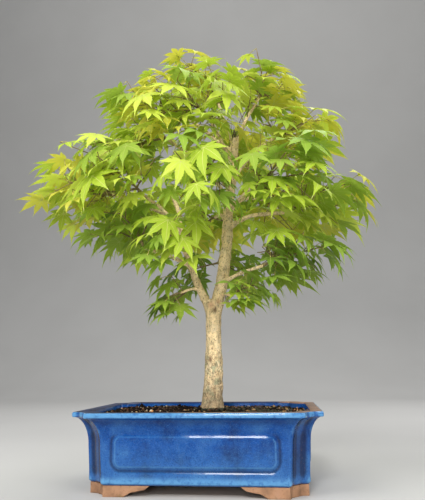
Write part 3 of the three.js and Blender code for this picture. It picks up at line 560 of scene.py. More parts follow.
class Crown:
    """Every mass's twigs and leaves together, grown on to finer shoots in the gaps."""

    def __init__(self, limbs):
        self.limbs = limbs
        stretches = [stretch for limb in limbs.values() for stretch in limb.stretches()]
        self.masses = [Twigs(name, index, limbs, stretches) for index, name in enumerate(MASSES)]
        self.fine = {name: [] for name in MASSES}
        low, high = vec(CAD_BOX[0]) - MIDDLE, vec(CAD_BOX[1]) - MIDDLE
        self.low, self.high = low / MM - CROWN_MARGIN, high / MM + CROWN_MARGIN

    def grow(self):
        for mass in self.masses:
            mass.grow()
        self.leaves = [leaf for mass in self.masses for leaf in mass.leaves]
        for mass in self.masses:
            outlines = np.vstack([leaf.outline for leaf in mass.leaves])
            mass.reach = outlines.min(axis=0) - REACH_MARGIN, outlines.max(axis=0) + REACH_MARGIN
            self.grow_finer(mass)

    def inside(self, mass, leaf):
        """Whether a leaf keeps to its mass's reach and to the model's box, and leaves the fork open."""
        outline = leaf.outline
        low, high = np.maximum(mass.reach[0], self.low), np.minimum(mass.reach[1], self.high)
        if np.any(outline < low) or np.any(outline > high):
            return False
        in_fork = np.abs(outline[:, 0] - FORK_WINDOW_MIDDLE) < FORK_WINDOW_HALF
        in_fork &= (outline[:, 2] > FORK_WINDOW_LOW) & (outline[:, 2] < FORK_WINDOW_HIGH)
        return not in_fork.any()

    def near(self, leaf):
        bases = np.array([other.base for other in self.leaves])
        close = np.linalg.norm(bases - leaf.base, axis=1) < NEAR_LEAVES
        return [self.leaves[index] for index in np.flatnonzero(close)]

    def sprout(self, mass, node, along, side, spray, size):
        """One finer leaf, tried at several angles until it is clear of all the others."""
        stalk_length = mass.draw(*STALK_LENGTH)
        full_length = size * mass.leaf_length
        for spread, shrink in FINE_TRIES:
            angle = math.radians(spread)
            stalk_along = math.cos(angle) * along + math.sin(angle) * side
            base = node + stalk_along * stalk_length * shrink
            leaf = mass.place_leaf(base, stalk_along, full_length * shrink)
            if not self.inside(mass, leaf):
                continue
            stalk_start = node + STALK_ROOTED * (base - node)
            if mass.fits(leaf, stalk_start, FINE_SPACING, FINE_SLACK, self.near(leaf)):
                mass.rods.append((node, leaf.crest))
                mass.stalks.append((node, leaf))
                mass.leaves.append(leaf)
                mass.sprays.append(spray)
                self.leaves.append(leaf)
                return True
        return False

    def shoot(self, mass, start, direction, length, spray):
        """A short side twig with a pair of leaves at its end and another half way."""
        end = start + direction * length
        level = unit(np.cross(UP, direction))
        turn = (mass.draw() - 0.5) * 2 * PAIR_TURN
        reached = 0
        for share in (1.0, 0.5):
            node = start + share * (end - start)
            side = turned(level, direction, turn)
            for way in (side, -side):
                if self.sprout(mass, node, direction, way, spray, mass.draw(*FINE_SIZE)):
                    reached = max(reached, share)
            turn += math.pi / 2
        if reached:
            self.fine[mass.name].append((start, start + reached * (end - start)))

    def grow_finer(self, mass):
        spray = len(mass.twigs)
        for start, end in mass.twigs:
            along, length = unit(end - start), np.linalg.norm(end - start)
            level = unit(np.cross(UP, along))
            turn = 2 * math.pi * mass.draw()
            for share in FINE_NODES:
                side = turned(level, along, turn)
                turn += math.radians(GOLDEN_ANGLE)
                angle = math.radians(FINE_ANGLE)
                direction = unit(math.cos(angle) * along + math.sin(angle) * side)
                reach = length * mass.draw(*FINE_LENGTH)
                self.shoot(mass, start + share * (end - start), direction, reach, spray)
                spray += 1
        carrier = mass.carrier
        for sprout in range(LIMB_SPROUTS):
            share = SPROUTS_FROM + SPROUTS_SPAN * sprout / LIMB_SPROUTS
            along = carrier.curve.heading(share)
            level = unit(np.cross(UP, along))
            side = turned(level, along, 2 * math.pi * mass.draw())
            direction = unit(along + SPROUT_SIDEWAYS * side)
            length = SPROUT_LENGTH * mass.draw(*SPROUT_SPREAD)
            self.shoot(mass, carrier.curve.at(share), direction, length, spray)
            spray += 1


# Meshes and objects

SWAY = 2.2
SWAY_SCALE = 0.024
# One shift for each way that a point moves. The noise module's vector noise isn't used,
# because it is seeded from the clock.
SWAY_SHIFTS = (Vector((3.7, 1.9, 6.1)), Vector((31.4, 17.2, 5.8)), Vector((8.6, 43.1, 26.5)))


def swayed(points):
    """Bends thin wood a little, the same way wherever pieces meet, so that nothing comes apart."""
    points = np.atleast_2d(points)
    places = [Vector(point) * SWAY_SCALE for point in points]
    bends = [[noise.noise(place + shift) for shift in SWAY_SHIFTS] for place in places]
    return points + SWAY * np.array(bends)


def in_frame(points):
    return np.asarray(points) * MM + MIDDLE


def new_object(name, points, faces, smooth=True):
    mesh = bpy.data.meshes.new(name)
    mesh.from_pydata(in_frame(points).tolist(), [], [list(map(int, face)) for face in faces])
    mesh.polygons.foreach_set("use_smooth", np.full(len(mesh.polygons), smooth))
    mesh.update()
    piece = bpy.data.objects.new(name, mesh)
    bpy.context.scene.collection.objects.link(piece)
    return piece


def dress(piece, material, slot, nodes):
    """Gives a piece its material, ties it to the body and hides the solids it stands for; the slot is not
    used.
    """
    piece.data.materials.clear()
    piece.data.materials.append(material)
    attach(piece, "root")
    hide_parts(*nodes)


def add_attribute(piece, name, values):
    attribute = piece.data.attributes.new(name, "FLOAT", "POINT")
    attribute.data.foreach_set("value", np.asarray(values, dtype=np.float32))


class Pile:
    """Many small meshes joined into one set of points and faces."""

    def __init__(self):
        self.points = []
        self.faces = []
        self.count = 0

    def add(self, points, faces):
        self.points.append(points)
        self.faces.append(np.asarray(faces) + self.count)
        self.count += len(points)

    def piece(self, name, smooth=True):
        faces = [face for block in self.faces for face in block.tolist()]
        return new_object(name, np.vstack(self.points), faces, smooth)


def tube_frames(points):
    """A steady pair of directions across a line of points, carried along it."""
    ways = np.gradient(points, axis=0)
    ways /= np.linalg.norm(ways, axis=1)[:, None]
    helper = UP if abs(ways[0][2]) < 0.9 else vec((1, 0, 0))
    across = [unit(np.cross(helper, ways[0]))]
    for way in ways[1:]:
        across.append(unit(across[-1] - way * np.dot(across[-1], way)))
    across = np.array(across)
    return across, np.cross(ways, across)


def tube(points, radii, sides):
    """Points and faces of a round bar along a line, closed at both ends."""
    points, radii = np.asarray(points), np.asarray(radii)
    across, beyond = tube_frames(points)
    turns = np.arange(sides) * 2 * math.pi / sides
    cos, sin = np.cos(turns)[None, :, None], np.sin(turns)[None, :, None]
    ring = cos * across[:, None, :] + sin * beyond[:, None, :]
    surface = (points[:, None, :] + ring * radii[:, None, None]).reshape(-1, 3)
    row = np.arange(sides)
    following = np.roll(row, -1)
    faces = []
    for level in range(len(points) - 1):
        here, above = level * sides, (level + 1) * sides
        faces.append(np.stack([here + row, here + following, above + following, above + row], axis=1))
    faces = np.vstack(faces)
    first, last = len(surface), len(surface) + 1
    surface = np.vstack([surface, points[0], points[-1]])
    top = (len(points) - 1) * sides
    caps = [(first, first, int(b), int(a)) for a, b in zip(row, following)]
    caps += [(last, last, int(top + a), int(top + b)) for a, b in zip(row, following)]
    return surface, faces, np.array(caps)[:, 1:]


def add_tube(pile, points, radii, sides):
    surface, quads, triangles = tube(points, radii, sides)
    start = pile.count
    pile.add(surface, quads)
    pile.faces.append(triangles + start)


# Materials

class Shades:
    """Builds one node material, with short names for the nodes used here."""

    def __init__(self, name):
        self.material = bpy.data.materials.new(name)
        self.material.use_nodes = True
        self.nodes = self.material.node_tree.nodes
        self.links = self.material.node_tree.links
        self.shader = self.nodes["Principled BSDF"]
        self.output = self.nodes["Material Output"]
        self.place = self.nodes.new("ShaderNodeTexCoord").outputs["Object"]

    def link(self, start, end):
        self.links.new(start, end)

    def set(self, **values):
        for label, value in values.items():
            self.shader.inputs[label.replace("_", " ")].default_value = value

    def stretched(self, scale):
        mapping = self.nodes.new("ShaderNodeMapping")
        mapping.inputs["Scale"].default_value = scale
        self.link(self.place, mapping.inputs["Vector"])
        return mapping.outputs["Vector"]

    def noise(self, scale, detail=4.0, rough=0.55, vector=None):
        node = self.nodes.new("ShaderNodeTexNoise")
        node.inputs["Scale"].default_value = scale
        node.inputs["Detail"].default_value = detail
        node.inputs["Roughness"].default_value = rough
        self.link(vector or self.place, node.inputs["Vector"])
        return node.outputs["Fac"]

    def grains(self, scale):
        node = self.nodes.new("ShaderNodeTexVoronoi")
        node.inputs["Scale"].default_value = scale
        self.link(self.place, node.inputs["Vector"])
        split = self.nodes.new("ShaderNodeSeparateColor")
        self.link(node.outputs["Color"], split.inputs["Color"])
        return split.outputs["Red"]

    def attribute(self, name):
        node = self.nodes.new("ShaderNodeAttribute")
        node.attribute_name = name
        return node.outputs["Fac"]

    def height(self):
        split = self.nodes.new("ShaderNodeSeparateXYZ")
        self.link(self.place, split.inputs["Vector"])
        return split.outputs["Z"]

    def band(self, value, low, high):
        """0 below low, 1 above high, smooth between."""
        node = self.nodes.new("ShaderNodeMapRange")
        node.interpolation_type = "SMOOTHSTEP"
        node.inputs["From Min"].default_value = low
        node.inputs["From Max"].default_value = high
        self.link(value, node.inputs["Value"])
        return node.outputs["Result"]

    def math(self, operation, first, second):
        node = self.nodes.new("ShaderNodeMath")
        node.operation = operation
        for socket, value in zip(node.inputs, (first, second)):
            if isinstance(value, (int, float)):
                socket.default_value = value
            else:
                self.link(value, socket)
        return node.outputs["Value"]

    def ramp(self, value, *stops):
        node = self.nodes.new("ShaderNodeValToRGB")
        elements = node.color_ramp.elements
        while len(elements) < len(stops):
            elements.new(0.5)
        for element, (position, color) in zip(elements, stops):
            element.position = position
            element.color = (*color[:3], 1)
        self.link(value, node.inputs["Fac"])
        return node.outputs["Color"]

    def mix(self, share, first, second):
        node = self.nodes.new("ShaderNodeMix")
        node.data_type = "RGBA"
        if isinstance(share, (int, float)):
            node.inputs[0].default_value = share
        else:
            self.link(share, node.inputs[0])
        for socket, value in ((node.inputs[6], first), (node.inputs[7], second)):
            if isinstance(value, bpy.types.NodeSocket):
                self.link(value, socket)
            else:
                socket.default_value = (*value[:3], 1)
        return node.outputs[2]

    def product(self, first, second):
        return self.math("MULTIPLY", first, second)

    def over(self, body, color, cover, share=1.0):
        """The body with a colour laid over it where cover is 1, by the given share."""
        return self.mix(self.product(cover, share) if share < 1 else cover, body, color)

    def below(self, low, high):
        """1 below the low height, 0 above the high one, in metres."""
        return self.math("SUBTRACT", 1.0, self.band(self.height(), low, high))

    def specular(self, level):
        self.shader.inputs["Specular IOR Level"].default_value = level

    def bump(self, value, distance, strength=1.0):
        node = self.nodes.new("ShaderNodeBump")
        node.inputs["Distance"].default_value = distance
        node.inputs["Strength"].default_value = strength
        self.link(value, node.inputs["Height"])
        previous = self.shader.inputs["Normal"]
        if previous.is_linked:
            self.link(previous.links[0].from_socket, node.inputs["Normal"])
        self.link(node.outputs["Normal"], previous)

    def color(self, socket):
        self.link(socket, self.shader.inputs["Base Color"])


def linear(color):
    """A screen colour from 0 to 255 as the linear colour that shaders take."""
    shares = vec(color) / 255
    return tuple(np.where(shares <= 0.04045, shares / 12.92, ((shares + 0.055) / 1.055) ** 2.4))


LEAF_GLOW_SHARE = 0.36


def leaf_material(name, color, glow):
    """Thin leaf: one plain colour, part of it passed through as light from behind."""
    shades = Shades(name)
    shades.nodes.remove(shades.place.node)
    shades.set(Base_Color=(*color, 1), Roughness=0.5)
    shades.specular(0.25)
    through = shades.nodes.new("ShaderNodeBsdfTranslucent")
    through.inputs["Color"].default_value = (*glow, 1)
    both = shades.nodes.new("ShaderNodeMixShader")
    both.inputs[0].default_value = LEAF_GLOW_SHARE
    shades.link(shades.shader.outputs[0], both.inputs[1])
    shades.link(through.outputs[0], both.inputs[2])
    shades.link(both.outputs[0], shades.output.inputs["Surface"])
    return shades.material


def twig_material(name, color, dark):
    shades = Shades(name)
    mottle = shades.noise(420, 3)
    shades.color(shades.mix(shades.band(mottle, 0.35, 0.7), dark, color))
    shades.set(Roughness=0.6)
    shades.bump(shades.noise(900, 2), 0.0002)
    return shades.material


def glaze_material(settings):
    """Deep glossy glaze: dark where it pools, pale where it runs thin on edges, speckled all over. Paler low
    down as painted light, with painted shade in the cove and notches and a painted highlight on the lip.
    """
    shades = Shades("glaze")
    dark, mid = linear_of(settings.glaze_dark), linear_of(settings.glaze)
    pale = linear_of(settings.glaze_pale)
    lighter = tuple(0.72 * one + 0.28 * other for one, other in zip(mid, pale))
    body = shades.ramp(shades.noise(34, 5, 0.62), (0.32, dark), (0.5, mid), (0.72, lighter))
    runs = shades.band(shades.noise(110, 4, 0.6, shades.stretched((1, 1, 0.4))), 0.5, 0.85)
    body = shades.over(body, lighter, runs, 0.55)
    # Paler low down on the wall: painted light from above, and partly the glaze's own change in tone.
    low = shades.below(0.012, 0.06)
    body = shades.over(body, pale, low, 0.2)
    cloud = shades.band(shades.noise(420, 4, 0.65), 0.4, 0.66)
    body = shades.over(body, lighter, cloud, 0.22)
    speck = shades.band(shades.noise(900, 3, 0.6), 0.5, 0.68)
    body = shades.over(body, dark, speck, 0.5)
    fleck = shades.band(shades.noise(1300, 2, 0.5), 0.62, 0.7)
    body = shades.over(body, pale, fleck, 0.35)
    # The thin attribute holds the glaze's real thinness and pooling, with painted light on the lip and
    # bottom band and painted shade in the cove and notches.
    thin = shades.attribute("thin")
    edge = shades.product(shades.band(thin, 0.1, 0.95), shades.band(shades.noise(260, 4), 0.15, 0.6))
    body = shades.over(body, pale, edge, 0.8)
    pooled_and_shade = shades.band(shades.product(thin, -1.0), 0.05, 0.9)
    body = shades.over(body, darker(dark, 0.3), pooled_and_shade, 0.8)
    iron = shades.product(pooled_and_shade, shades.band(shades.noise(520, 4, 0.7), 0.56, 0.7))
    body = shades.over(body, linear((150, 116, 70)), iron, 0.15)
    shades.color(body)
    shades.set(Roughness=0.1)
    shades.specular(0.34)
    shades.bump(shades.noise(60, 3), 0.0006, 0.3)
    shades.bump(shades.noise(700, 2), 0.00006, 0.25)
    return shades.material


def linear_of(color):
    """A setting's colour as a plain tuple."""
    return tuple(color)[:3]


def darker(color, share):
    return tuple(share * value for value in color)


def clay_material(settings):
    """Bare fired clay: salmon to brown, with darker burnt patches and glaze stains."""
    shades = Shades("bare_clay")
    clay = linear_of(settings.clay)
    burnt, light = darker(clay, 0.45), linear((172, 132, 106))
    body = shades.ramp(shades.noise(45, 5), (0.3, burnt), (0.5, clay), (0.72, light))
    scorch = shades.band(shades.noise(420, 4), 0.56, 0.72)
    body = shades.over(body, burnt, scorch, 0.7)
    stain = shades.band(shades.noise(75, 4, 0.65), 0.58, 0.7)
    body = shades.over(body, linear((112, 92, 52)), stain, 0.55)
    shades.color(body)
    shades.set(Roughness=0.85)
    shades.bump(shades.noise(900, 4, 0.7), 0.0004, 0.7)
    return shades.material


def rim_material(settings):
    """The rim's top: dark with thin glaze, wiped to bare brown clay at the front and on the right."""
    shades = Shades("wiped_rim")
    clay, glaze = linear_of(settings.clay), linear_of(settings.glaze_dark)
    brown = darker(clay, 0.36)
    bare = shades.ramp(shades.noise(60, 5), (0.35, brown), (0.62, darker(clay, 0.72)))
    specks = shades.band(shades.noise(800, 3), 0.55, 0.7)
    bare = shades.over(bare, linear((190, 152, 140)), specks, 0.5)
    covered = shades.ramp(shades.noise(90, 4), (0.35, darker(glaze, 0.3)), (0.7, glaze))
    wiped = shades.math("ADD", shades.attribute("wiped"), shades.product(shades.noise(55, 4), 0.6))
    shades.color(shades.mix(shades.band(wiped, 0.62, 0.95), covered, bare))
    shades.set(Roughness=0.45)
    shades.bump(shades.noise(900, 4, 0.7), 0.0002, 0.5)
    return shades.material


def bark_material(settings):
    """Young maple bark: warm beige and mottled, pitted, with lichen low down and warm scars."""
    shades = Shades("bark")
    bark = linear_of(settings.bark)
    dark, light = darker(bark, 0.36), tuple(min(1, 1.34 * value) for value in bark)
    grain = shades.noise(230, 6, 0.7, shades.stretched((1, 1, 0.45)))
    body = shades.ramp(grain, (0.33, dark), (0.46, bark), (0.62, light))
    blotch = shades.band(shades.noise(95, 5, 0.65), 0.46, 0.62)
    body = shades.over(body, linear((240, 220, 182)), blotch, 0.45)
    ochre = shades.band(shades.noise(140, 5, 0.7), 0.52, 0.66)
    body = shades.over(body, linear((176, 140, 88)), ochre, 0.4)
    pits = shades.band(shades.noise(560, 4, 0.6), 0.57, 0.64)
    body = shades.over(body, linear((88, 66, 44)), pits, 0.7)
    low = shades.below(0.12, 0.165)
    lichen = shades.product(shades.band(shades.noise(150, 5, 0.7), 0.47, 0.58), low)
    body = shades.over(body, linear((128, 148, 116)), lichen, 0.6)
    rough_low = shades.product(shades.band(shades.noise(330, 5, 0.7), 0.5, 0.58), low)
    body = shades.over(body, linear((104, 82, 54)), rough_low, 0.6)
    foot = shades.below(0.08, 0.125)
    body = shades.over(body, linear((98, 72, 50)), foot, 0.62)
    scar = shades.band(shades.attribute("scar"), 0.2, 1.1)
    body = shades.over(body, linear((92, 56, 34)), scar, 0.9)
    callus = shades.band(shades.attribute("callus"), 0.1, 0.9)
    body = shades.over(body, linear((208, 158, 122)), callus)
    shades.color(body)
    shades.set(Roughness=0.82)
    shades.bump(shades.noise(420, 5, 0.7, shades.stretched((1, 1, 0.4))), 0.0007, 0.9)
    return shades.material


def earth_material(name, *colors):
    """Potting mix: each grain takes one of the given colours."""
    shades = Shades(name)
    tones = [(index / len(colors), color) for index, color in enumerate(colors)]
    ramp = shades.ramp(shades.grains(330), *tones)
    ramp.node.color_ramp.interpolation = "CONSTANT"
    dust = shades.band(shades.noise(800, 4), 0.35, 0.75)
    dark = darker(colors[0], 0.4)
    shades.color(shades.mix(dust, ramp, dark))
    dust.node.inputs["To Max"].default_value = 0.5
    shades.set(Roughness=0.95)
    shades.specular(0.08)
    shades.bump(shades.noise(1400, 3), 0.0003, 0.8)
    return shades.material


# Settings that a user would change

def color_setting(name, text, color):
    return FloatVectorProperty(name=name, description=text, subtype="COLOR", size=3, min=0, max=1,
                               default=linear(color))


class MaplePotSettings(bpy.types.PropertyGroup):
    glaze: color_setting("Glaze", "Main colour of the glaze", (0, 65, 138))
    glaze_dark: color_setting("Pooled glaze", "Colour where the glaze lies thick", (0, 34, 90))
    glaze_pale: color_setting("Thin glaze", "Colour where the glaze runs thin on edges", (94, 152, 196))
    clay: color_setting("Clay", "Bare clay of the feet and rim", (164, 122, 90))
    panel_relief: FloatProperty(name="Panel relief", description="How far the raised panels stand out",
                                default=1.2 * MM, min=0, max=3 * MM, unit="LENGTH", precision=4)
    groove_depth: FloatProperty(name="Groove depth", description="Depth of the groove round each panel",
                                default=0.6 * MM, min=0, max=2 * MM, unit="LENGTH", precision=4)


class MapleBarkSettings(bpy.types.PropertyGroup):
    bark: color_setting("Bark", "Main colour of the bark", (224, 198, 152))
    relief: FloatProperty(name="Bark relief", description="Height of the bark's ridges and knots",
                          default=0.75 * MM, min=0, max=2 * MM, unit="LENGTH", precision=4)
    voxel: FloatProperty(name="Bark mesh size", description="Size of the bark mesh's faces",
                         default=0.7 * MM, min=0.4 * MM, max=2 * MM, unit="LENGTH", precision=4)


class MapleLeafSettings(bpy.types.PropertyGroup):
    lime: color_setting("Lime", "Most of the upper leaves", (174, 196, 60))
    bright: color_setting("Bright lime", "Sunlit outer leaves", (202, 216, 82))
    gold: color_setting("Gold", "Youngest leaves", (208, 206, 74))
    # Mid green is partly the inner leaves' own colour and partly painted shade.
    mid: color_setting("Mid green", "Leaves further in", (152, 178, 62))
    deep: color_setting("Deep green", "Shaded leaves", (118, 148, 52))
    # Fresh green is partly the bluer undersides of low leaves and partly painted shade.
    fresh: color_setting("Fresh green", "Lower leaves", (150, 180, 66))
    vein: color_setting("Veins", "Veins and leaf tips", (214, 220, 128))
    stalk: color_setting("Stalks", "Leaf stalks", (190, 190, 96))
    curl: FloatProperty(name="Curl", description="How far the lobes bend down at their tips, as a share "
                        "of the leaf's length", default=0.1, min=0, max=0.4, subtype="FACTOR")
    fold: FloatProperty(name="Fold", description="How far each lobe folds up from its vein",
                        default=0.16, min=0, max=0.5, subtype="FACTOR")


class MapleSoilSettings(bpy.types.PropertyGroup):
    soil: color_setting("Soil", "Main colour of the potting mix", (28, 20, 15))
    grains: IntProperty(name="Grains", description="How many loose grains lie on the soil",
                        default=6500, min=0, max=12000)
    grain_size: FloatProperty(name="Grain size", description="Typical width of a grain",
                              default=2.6 * MM, min=1 * MM, max=6 * MM, unit="LENGTH", precision=4)


class MapleSettings(bpy.types.PropertyGroup):
    pot: PointerProperty(type=MaplePotSettings)
    wood: PointerProperty(type=MapleBarkSettings)
    leaves: PointerProperty(type=MapleLeafSettings)
    soil: PointerProperty(type=MapleSoilSettings)
    light: FloatProperty(name="Light", description="Strength of the studio lamps", default=1.0, min=0, max=5)


# Pot

FILLET = 1.6
FILLET_STEPS = 4
WALL_SPACING = 1.25
PANEL_BEVEL = 3.2
EDGE_REACH = 2.6

# How finely the wall is made, and its small forms and thinness of glaze, which also carries a painted
# highlight on the lip and painted shade in the notches
FOOT_LINE = 14
FOOT_LINE_LEVELS = 6
LEVEL_SPACING = 0.75
LOW_ROUND = 1.4
LOW_ROUND_HEIGHT = 2.2
COVE_LEVELS = 26
LIP_LEVELS = 12
LIP_BULGE = 0.5
LIP_TOP_ROUND = 0.4
BEAD = 0.12
BEAD_PLACE = -2.9
BEAD_WIDTH = 1.4
GROOVE_PLACE = 2.4
GROOVE_WIDTH = 2.0
PANEL_EDGE_THINNESS = 0.55
GROOVE_POOLING = 0.7
NOTCH_POOLING_AND_SHADE = 0.5
LIP_THINNESS_AND_HIGHLIGHT = 0.95
WALL_UNEVENNESS = 0.25
WALL_UNEVENNESS_SCALE = 0.05
INSIDE_HEIGHTS = (POT_HEIGHT - 1.2, 78, 74, 68, 60)
FOOT_VOXEL = 0.75 * MM
FOOT_WEAR = 0.25 * MM
FOOT_WEAR_SCALE = 6 * MM


def rim_corners():
    """The rim's outline: a rectangle whose corners are cut back in a step with a splayed face."""
    half_length, half_width = RIM_LENGTH / 2, RIM_WIDTH / 2
    front_end, side_end = half_length - CORNER_NOTCH, half_width - CORNER_NOTCH
    corner = [
        (half_length, side_end),
        (half_length - NOTCH_STEP, side_end + NOTCH_SPLAY),
        (front_end + NOTCH_SPLAY, half_width - NOTCH_STEP),
        (front_end, half_width),
    ]
    around = corner + [(-x, y) for x, y in reversed(corner)]
    around += [(-x, -y) for x, y in corner] + [(x, -y) for x, y in reversed(corner)]
    return np.array(around, float)


def fine_outline():
    """Close-set points round the rim with filleted corners, and how convex each one is."""
    corners = rim_corners()
    points, bends = [], []
    count = len(corners)
    for index, corner in enumerate(corners):
        before, after = corners[index - 1], corners[(index + 1) % count]
        enter, leave = (before - corner), (after - corner)
        enter_length, leave_length = np.linalg.norm(enter), np.linalg.norm(leave)
        enter, leave = enter / enter_length, leave / leave_length
        convex = np.sign(enter[1] * leave[0] - enter[0] * leave[1])
        for step in range(FILLET_STEPS + 1):
            share = step / FILLET_STEPS
            spot = corner + FILLET * ((1 - share) ** 2 * enter + share ** 2 * leave)
            points.append(spot)
            bends.append(convex)
        start, end = corner + FILLET * leave, after - FILLET * leave
        pieces = max(1, round(np.linalg.norm(end - start) / WALL_SPACING))
        for piece in range(1, pieces):
            spot = start + (end - start) * piece / pieces
            points.append(spot)
            close = min(piece, pieces - piece) * WALL_SPACING
            nearer = convex if piece < pieces - piece else next_bend(corners, index)
            bends.append(nearer * max(0, 1 - close / EDGE_REACH))
    return np.array(points), np.array(bends)


def next_bend(corners, index):
    count = len(corners)
    corner, before, after = corners[(index + 1) % count], corners[index], corners[(index + 2) % count]
    enter, leave = before - corner, after - corner
    return np.sign(enter[1] * leave[0] - enter[0] * leave[1])


def set_in_shift(outline):
    """How each point moves for one millimetre of set-in, so that the corners keep their size."""
    ends = np.array([RIM_LENGTH / 2 - CORNER_NOTCH, RIM_WIDTH / 2 - CORNER_NOTCH])
    return -np.clip(outline / ends, -1, 1)


def outer_levels():
    """Set-in and height of close-set levels up the outer wall: foot, wall, cove and rolled lip."""
    cove_depth = WALL_SET_IN - WALL_LEAN
    cove_height = POT_HEIGHT - LIP_HEIGHT - COVE_START
    levels = []
    foot_line = np.linspace(FOOT_HEIGHT, FOOT_LINE, FOOT_LINE_LEVELS)
    for height in np.concatenate([foot_line, np.arange(FOOT_LINE + 0.7, COVE_START, LEVEL_SPACING)]):
        lean = WALL_LEAN * (height - FOOT_HEIGHT) / (COVE_START - FOOT_HEIGHT)
        low_round = LOW_ROUND * max(0, 1 - (height - FOOT_HEIGHT) / LOW_ROUND_HEIGHT) ** 2
        levels.append((WALL_SET_IN - lean + low_round, height))
    for step in range(COVE_LEVELS + 1):
        turn = step / COVE_LEVELS * math.pi / 2
        levels.append((cove_depth * math.cos(turn), COVE_START + cove_height * math.sin(turn)))
    low_lip = POT_HEIGHT - LIP_HEIGHT
    for step in range(1, LIP_LEVELS + 1):
        turn = step / LIP_LEVELS * math.pi
        rise = (LIP_HEIGHT - LIP_TOP_ROUND) * (1 - math.cos(turn)) / 2
        levels.append((-LIP_BULGE * math.sin(turn), low_lip + rise))
    levels.append((0.5, POT_HEIGHT - 0.08))
    levels.append((1.6, POT_HEIGHT))
    return levels


def smooth_step(low, high, value):
    share = np.clip((value - low) / (high - low), 0, 1)
    return share * share * (3 - 2 * share)


def bell(value, middle, width):
    return np.exp(-((value - middle) / width) ** 2)


def panel_distance(along, height, half_length):
    """Distance outside the edge of a panel with round corners; negative within it."""
    middle, half_height = (PANEL_LOW + PANEL_HIGH) / 2, (PANEL_HIGH - PANEL_LOW) / 2
    across = np.abs(along) - half_length + PANEL_CORNER
    up = np.abs(height - middle) - half_height + PANEL_CORNER
    outside = np.hypot(np.maximum(across, 0), np.maximum(up, 0))
    return outside + np.minimum(np.maximum(across, up), 0) - PANEL_CORNER


def wall_relief(outline, points, settings):
    """How far each wall point stands out, and how thin the glaze is there, with painted shade in the notches
    and painted light on the bottom band.
    """
    front_end, side_end = RIM_LENGTH / 2 - CORNER_NOTCH, RIM_WIDTH / 2 - CORNER_NOTCH
    on_front = np.abs(outline[:, 0]) < front_end - FILLET
    on_side = np.abs(outline[:, 1]) < side_end - FILLET
    height = points[:, 2]
    relief, thin = np.zeros(len(points)), np.zeros(len(points))
    for on_wall, axis, rim in ((on_front, 0, RIM_LENGTH), (on_side, 1, RIM_WIDTH)):
        half = rim / 2 - CORNER_NOTCH - WALL_SET_IN - PANEL_SIDE_MARGIN
        distance = panel_distance(points[:, axis], height, half)
        raised = settings.panel_relief / MM * np.clip((PANEL_BEVEL / 4 - distance) / PANEL_BEVEL, 0, 1)
        bead = BEAD * bell(distance, BEAD_PLACE, BEAD_WIDTH)
        groove = bell(distance, GROOVE_PLACE, GROOVE_WIDTH)
        relief += np.where(on_wall, raised + bead - settings.groove_depth / MM * groove, 0)
        edge = PANEL_EDGE_THINNESS * bell(distance, -1.6, 1.3)
        thin += np.where(on_wall, edge - GROOVE_POOLING * groove, 0)
    # Darker in the notches: glaze pooled there, and painted shade in the recess.
    thin += np.where(on_front | on_side, 0, -NOTCH_POOLING_AND_SHADE)
    relief += 0.35 * bell(height, 15, 4)
    # Paler on the bottom band: the glaze runs thin on its bulge, and painted light.
    thin += 0.9 * smooth_step(11, 12.5, height) * smooth_step(23, 13, height)
    return relief, thin


def band_faces(rows, columns):
    """Quads of a closed band of rows, each of so many points round."""
    column = np.arange(columns)
    following = np.roll(column, -1)
    faces = []
    for row in range(rows - 1):
        here, above = row * columns, (row + 1) * columns
        faces.append(np.stack([here + column, here + following, above + following, above + column], axis=1))
    return np.vstack(faces)


def lofted(levels, outline, shift):
    rows = []
    for set_in, height in levels:
        ring = outline + shift * set_in
        rows.append(np.column_stack([ring, np.full(len(ring), height)]))
    return np.vstack(rows)


def inner_set_in(height):
    bottom = WALL_SET_IN + WALL_THICKNESS
    share = (height - FOOT_HEIGHT) / (POT_HEIGHT - FOOT_HEIGHT)
    return bottom + (RIM_THICKNESS - bottom) * share


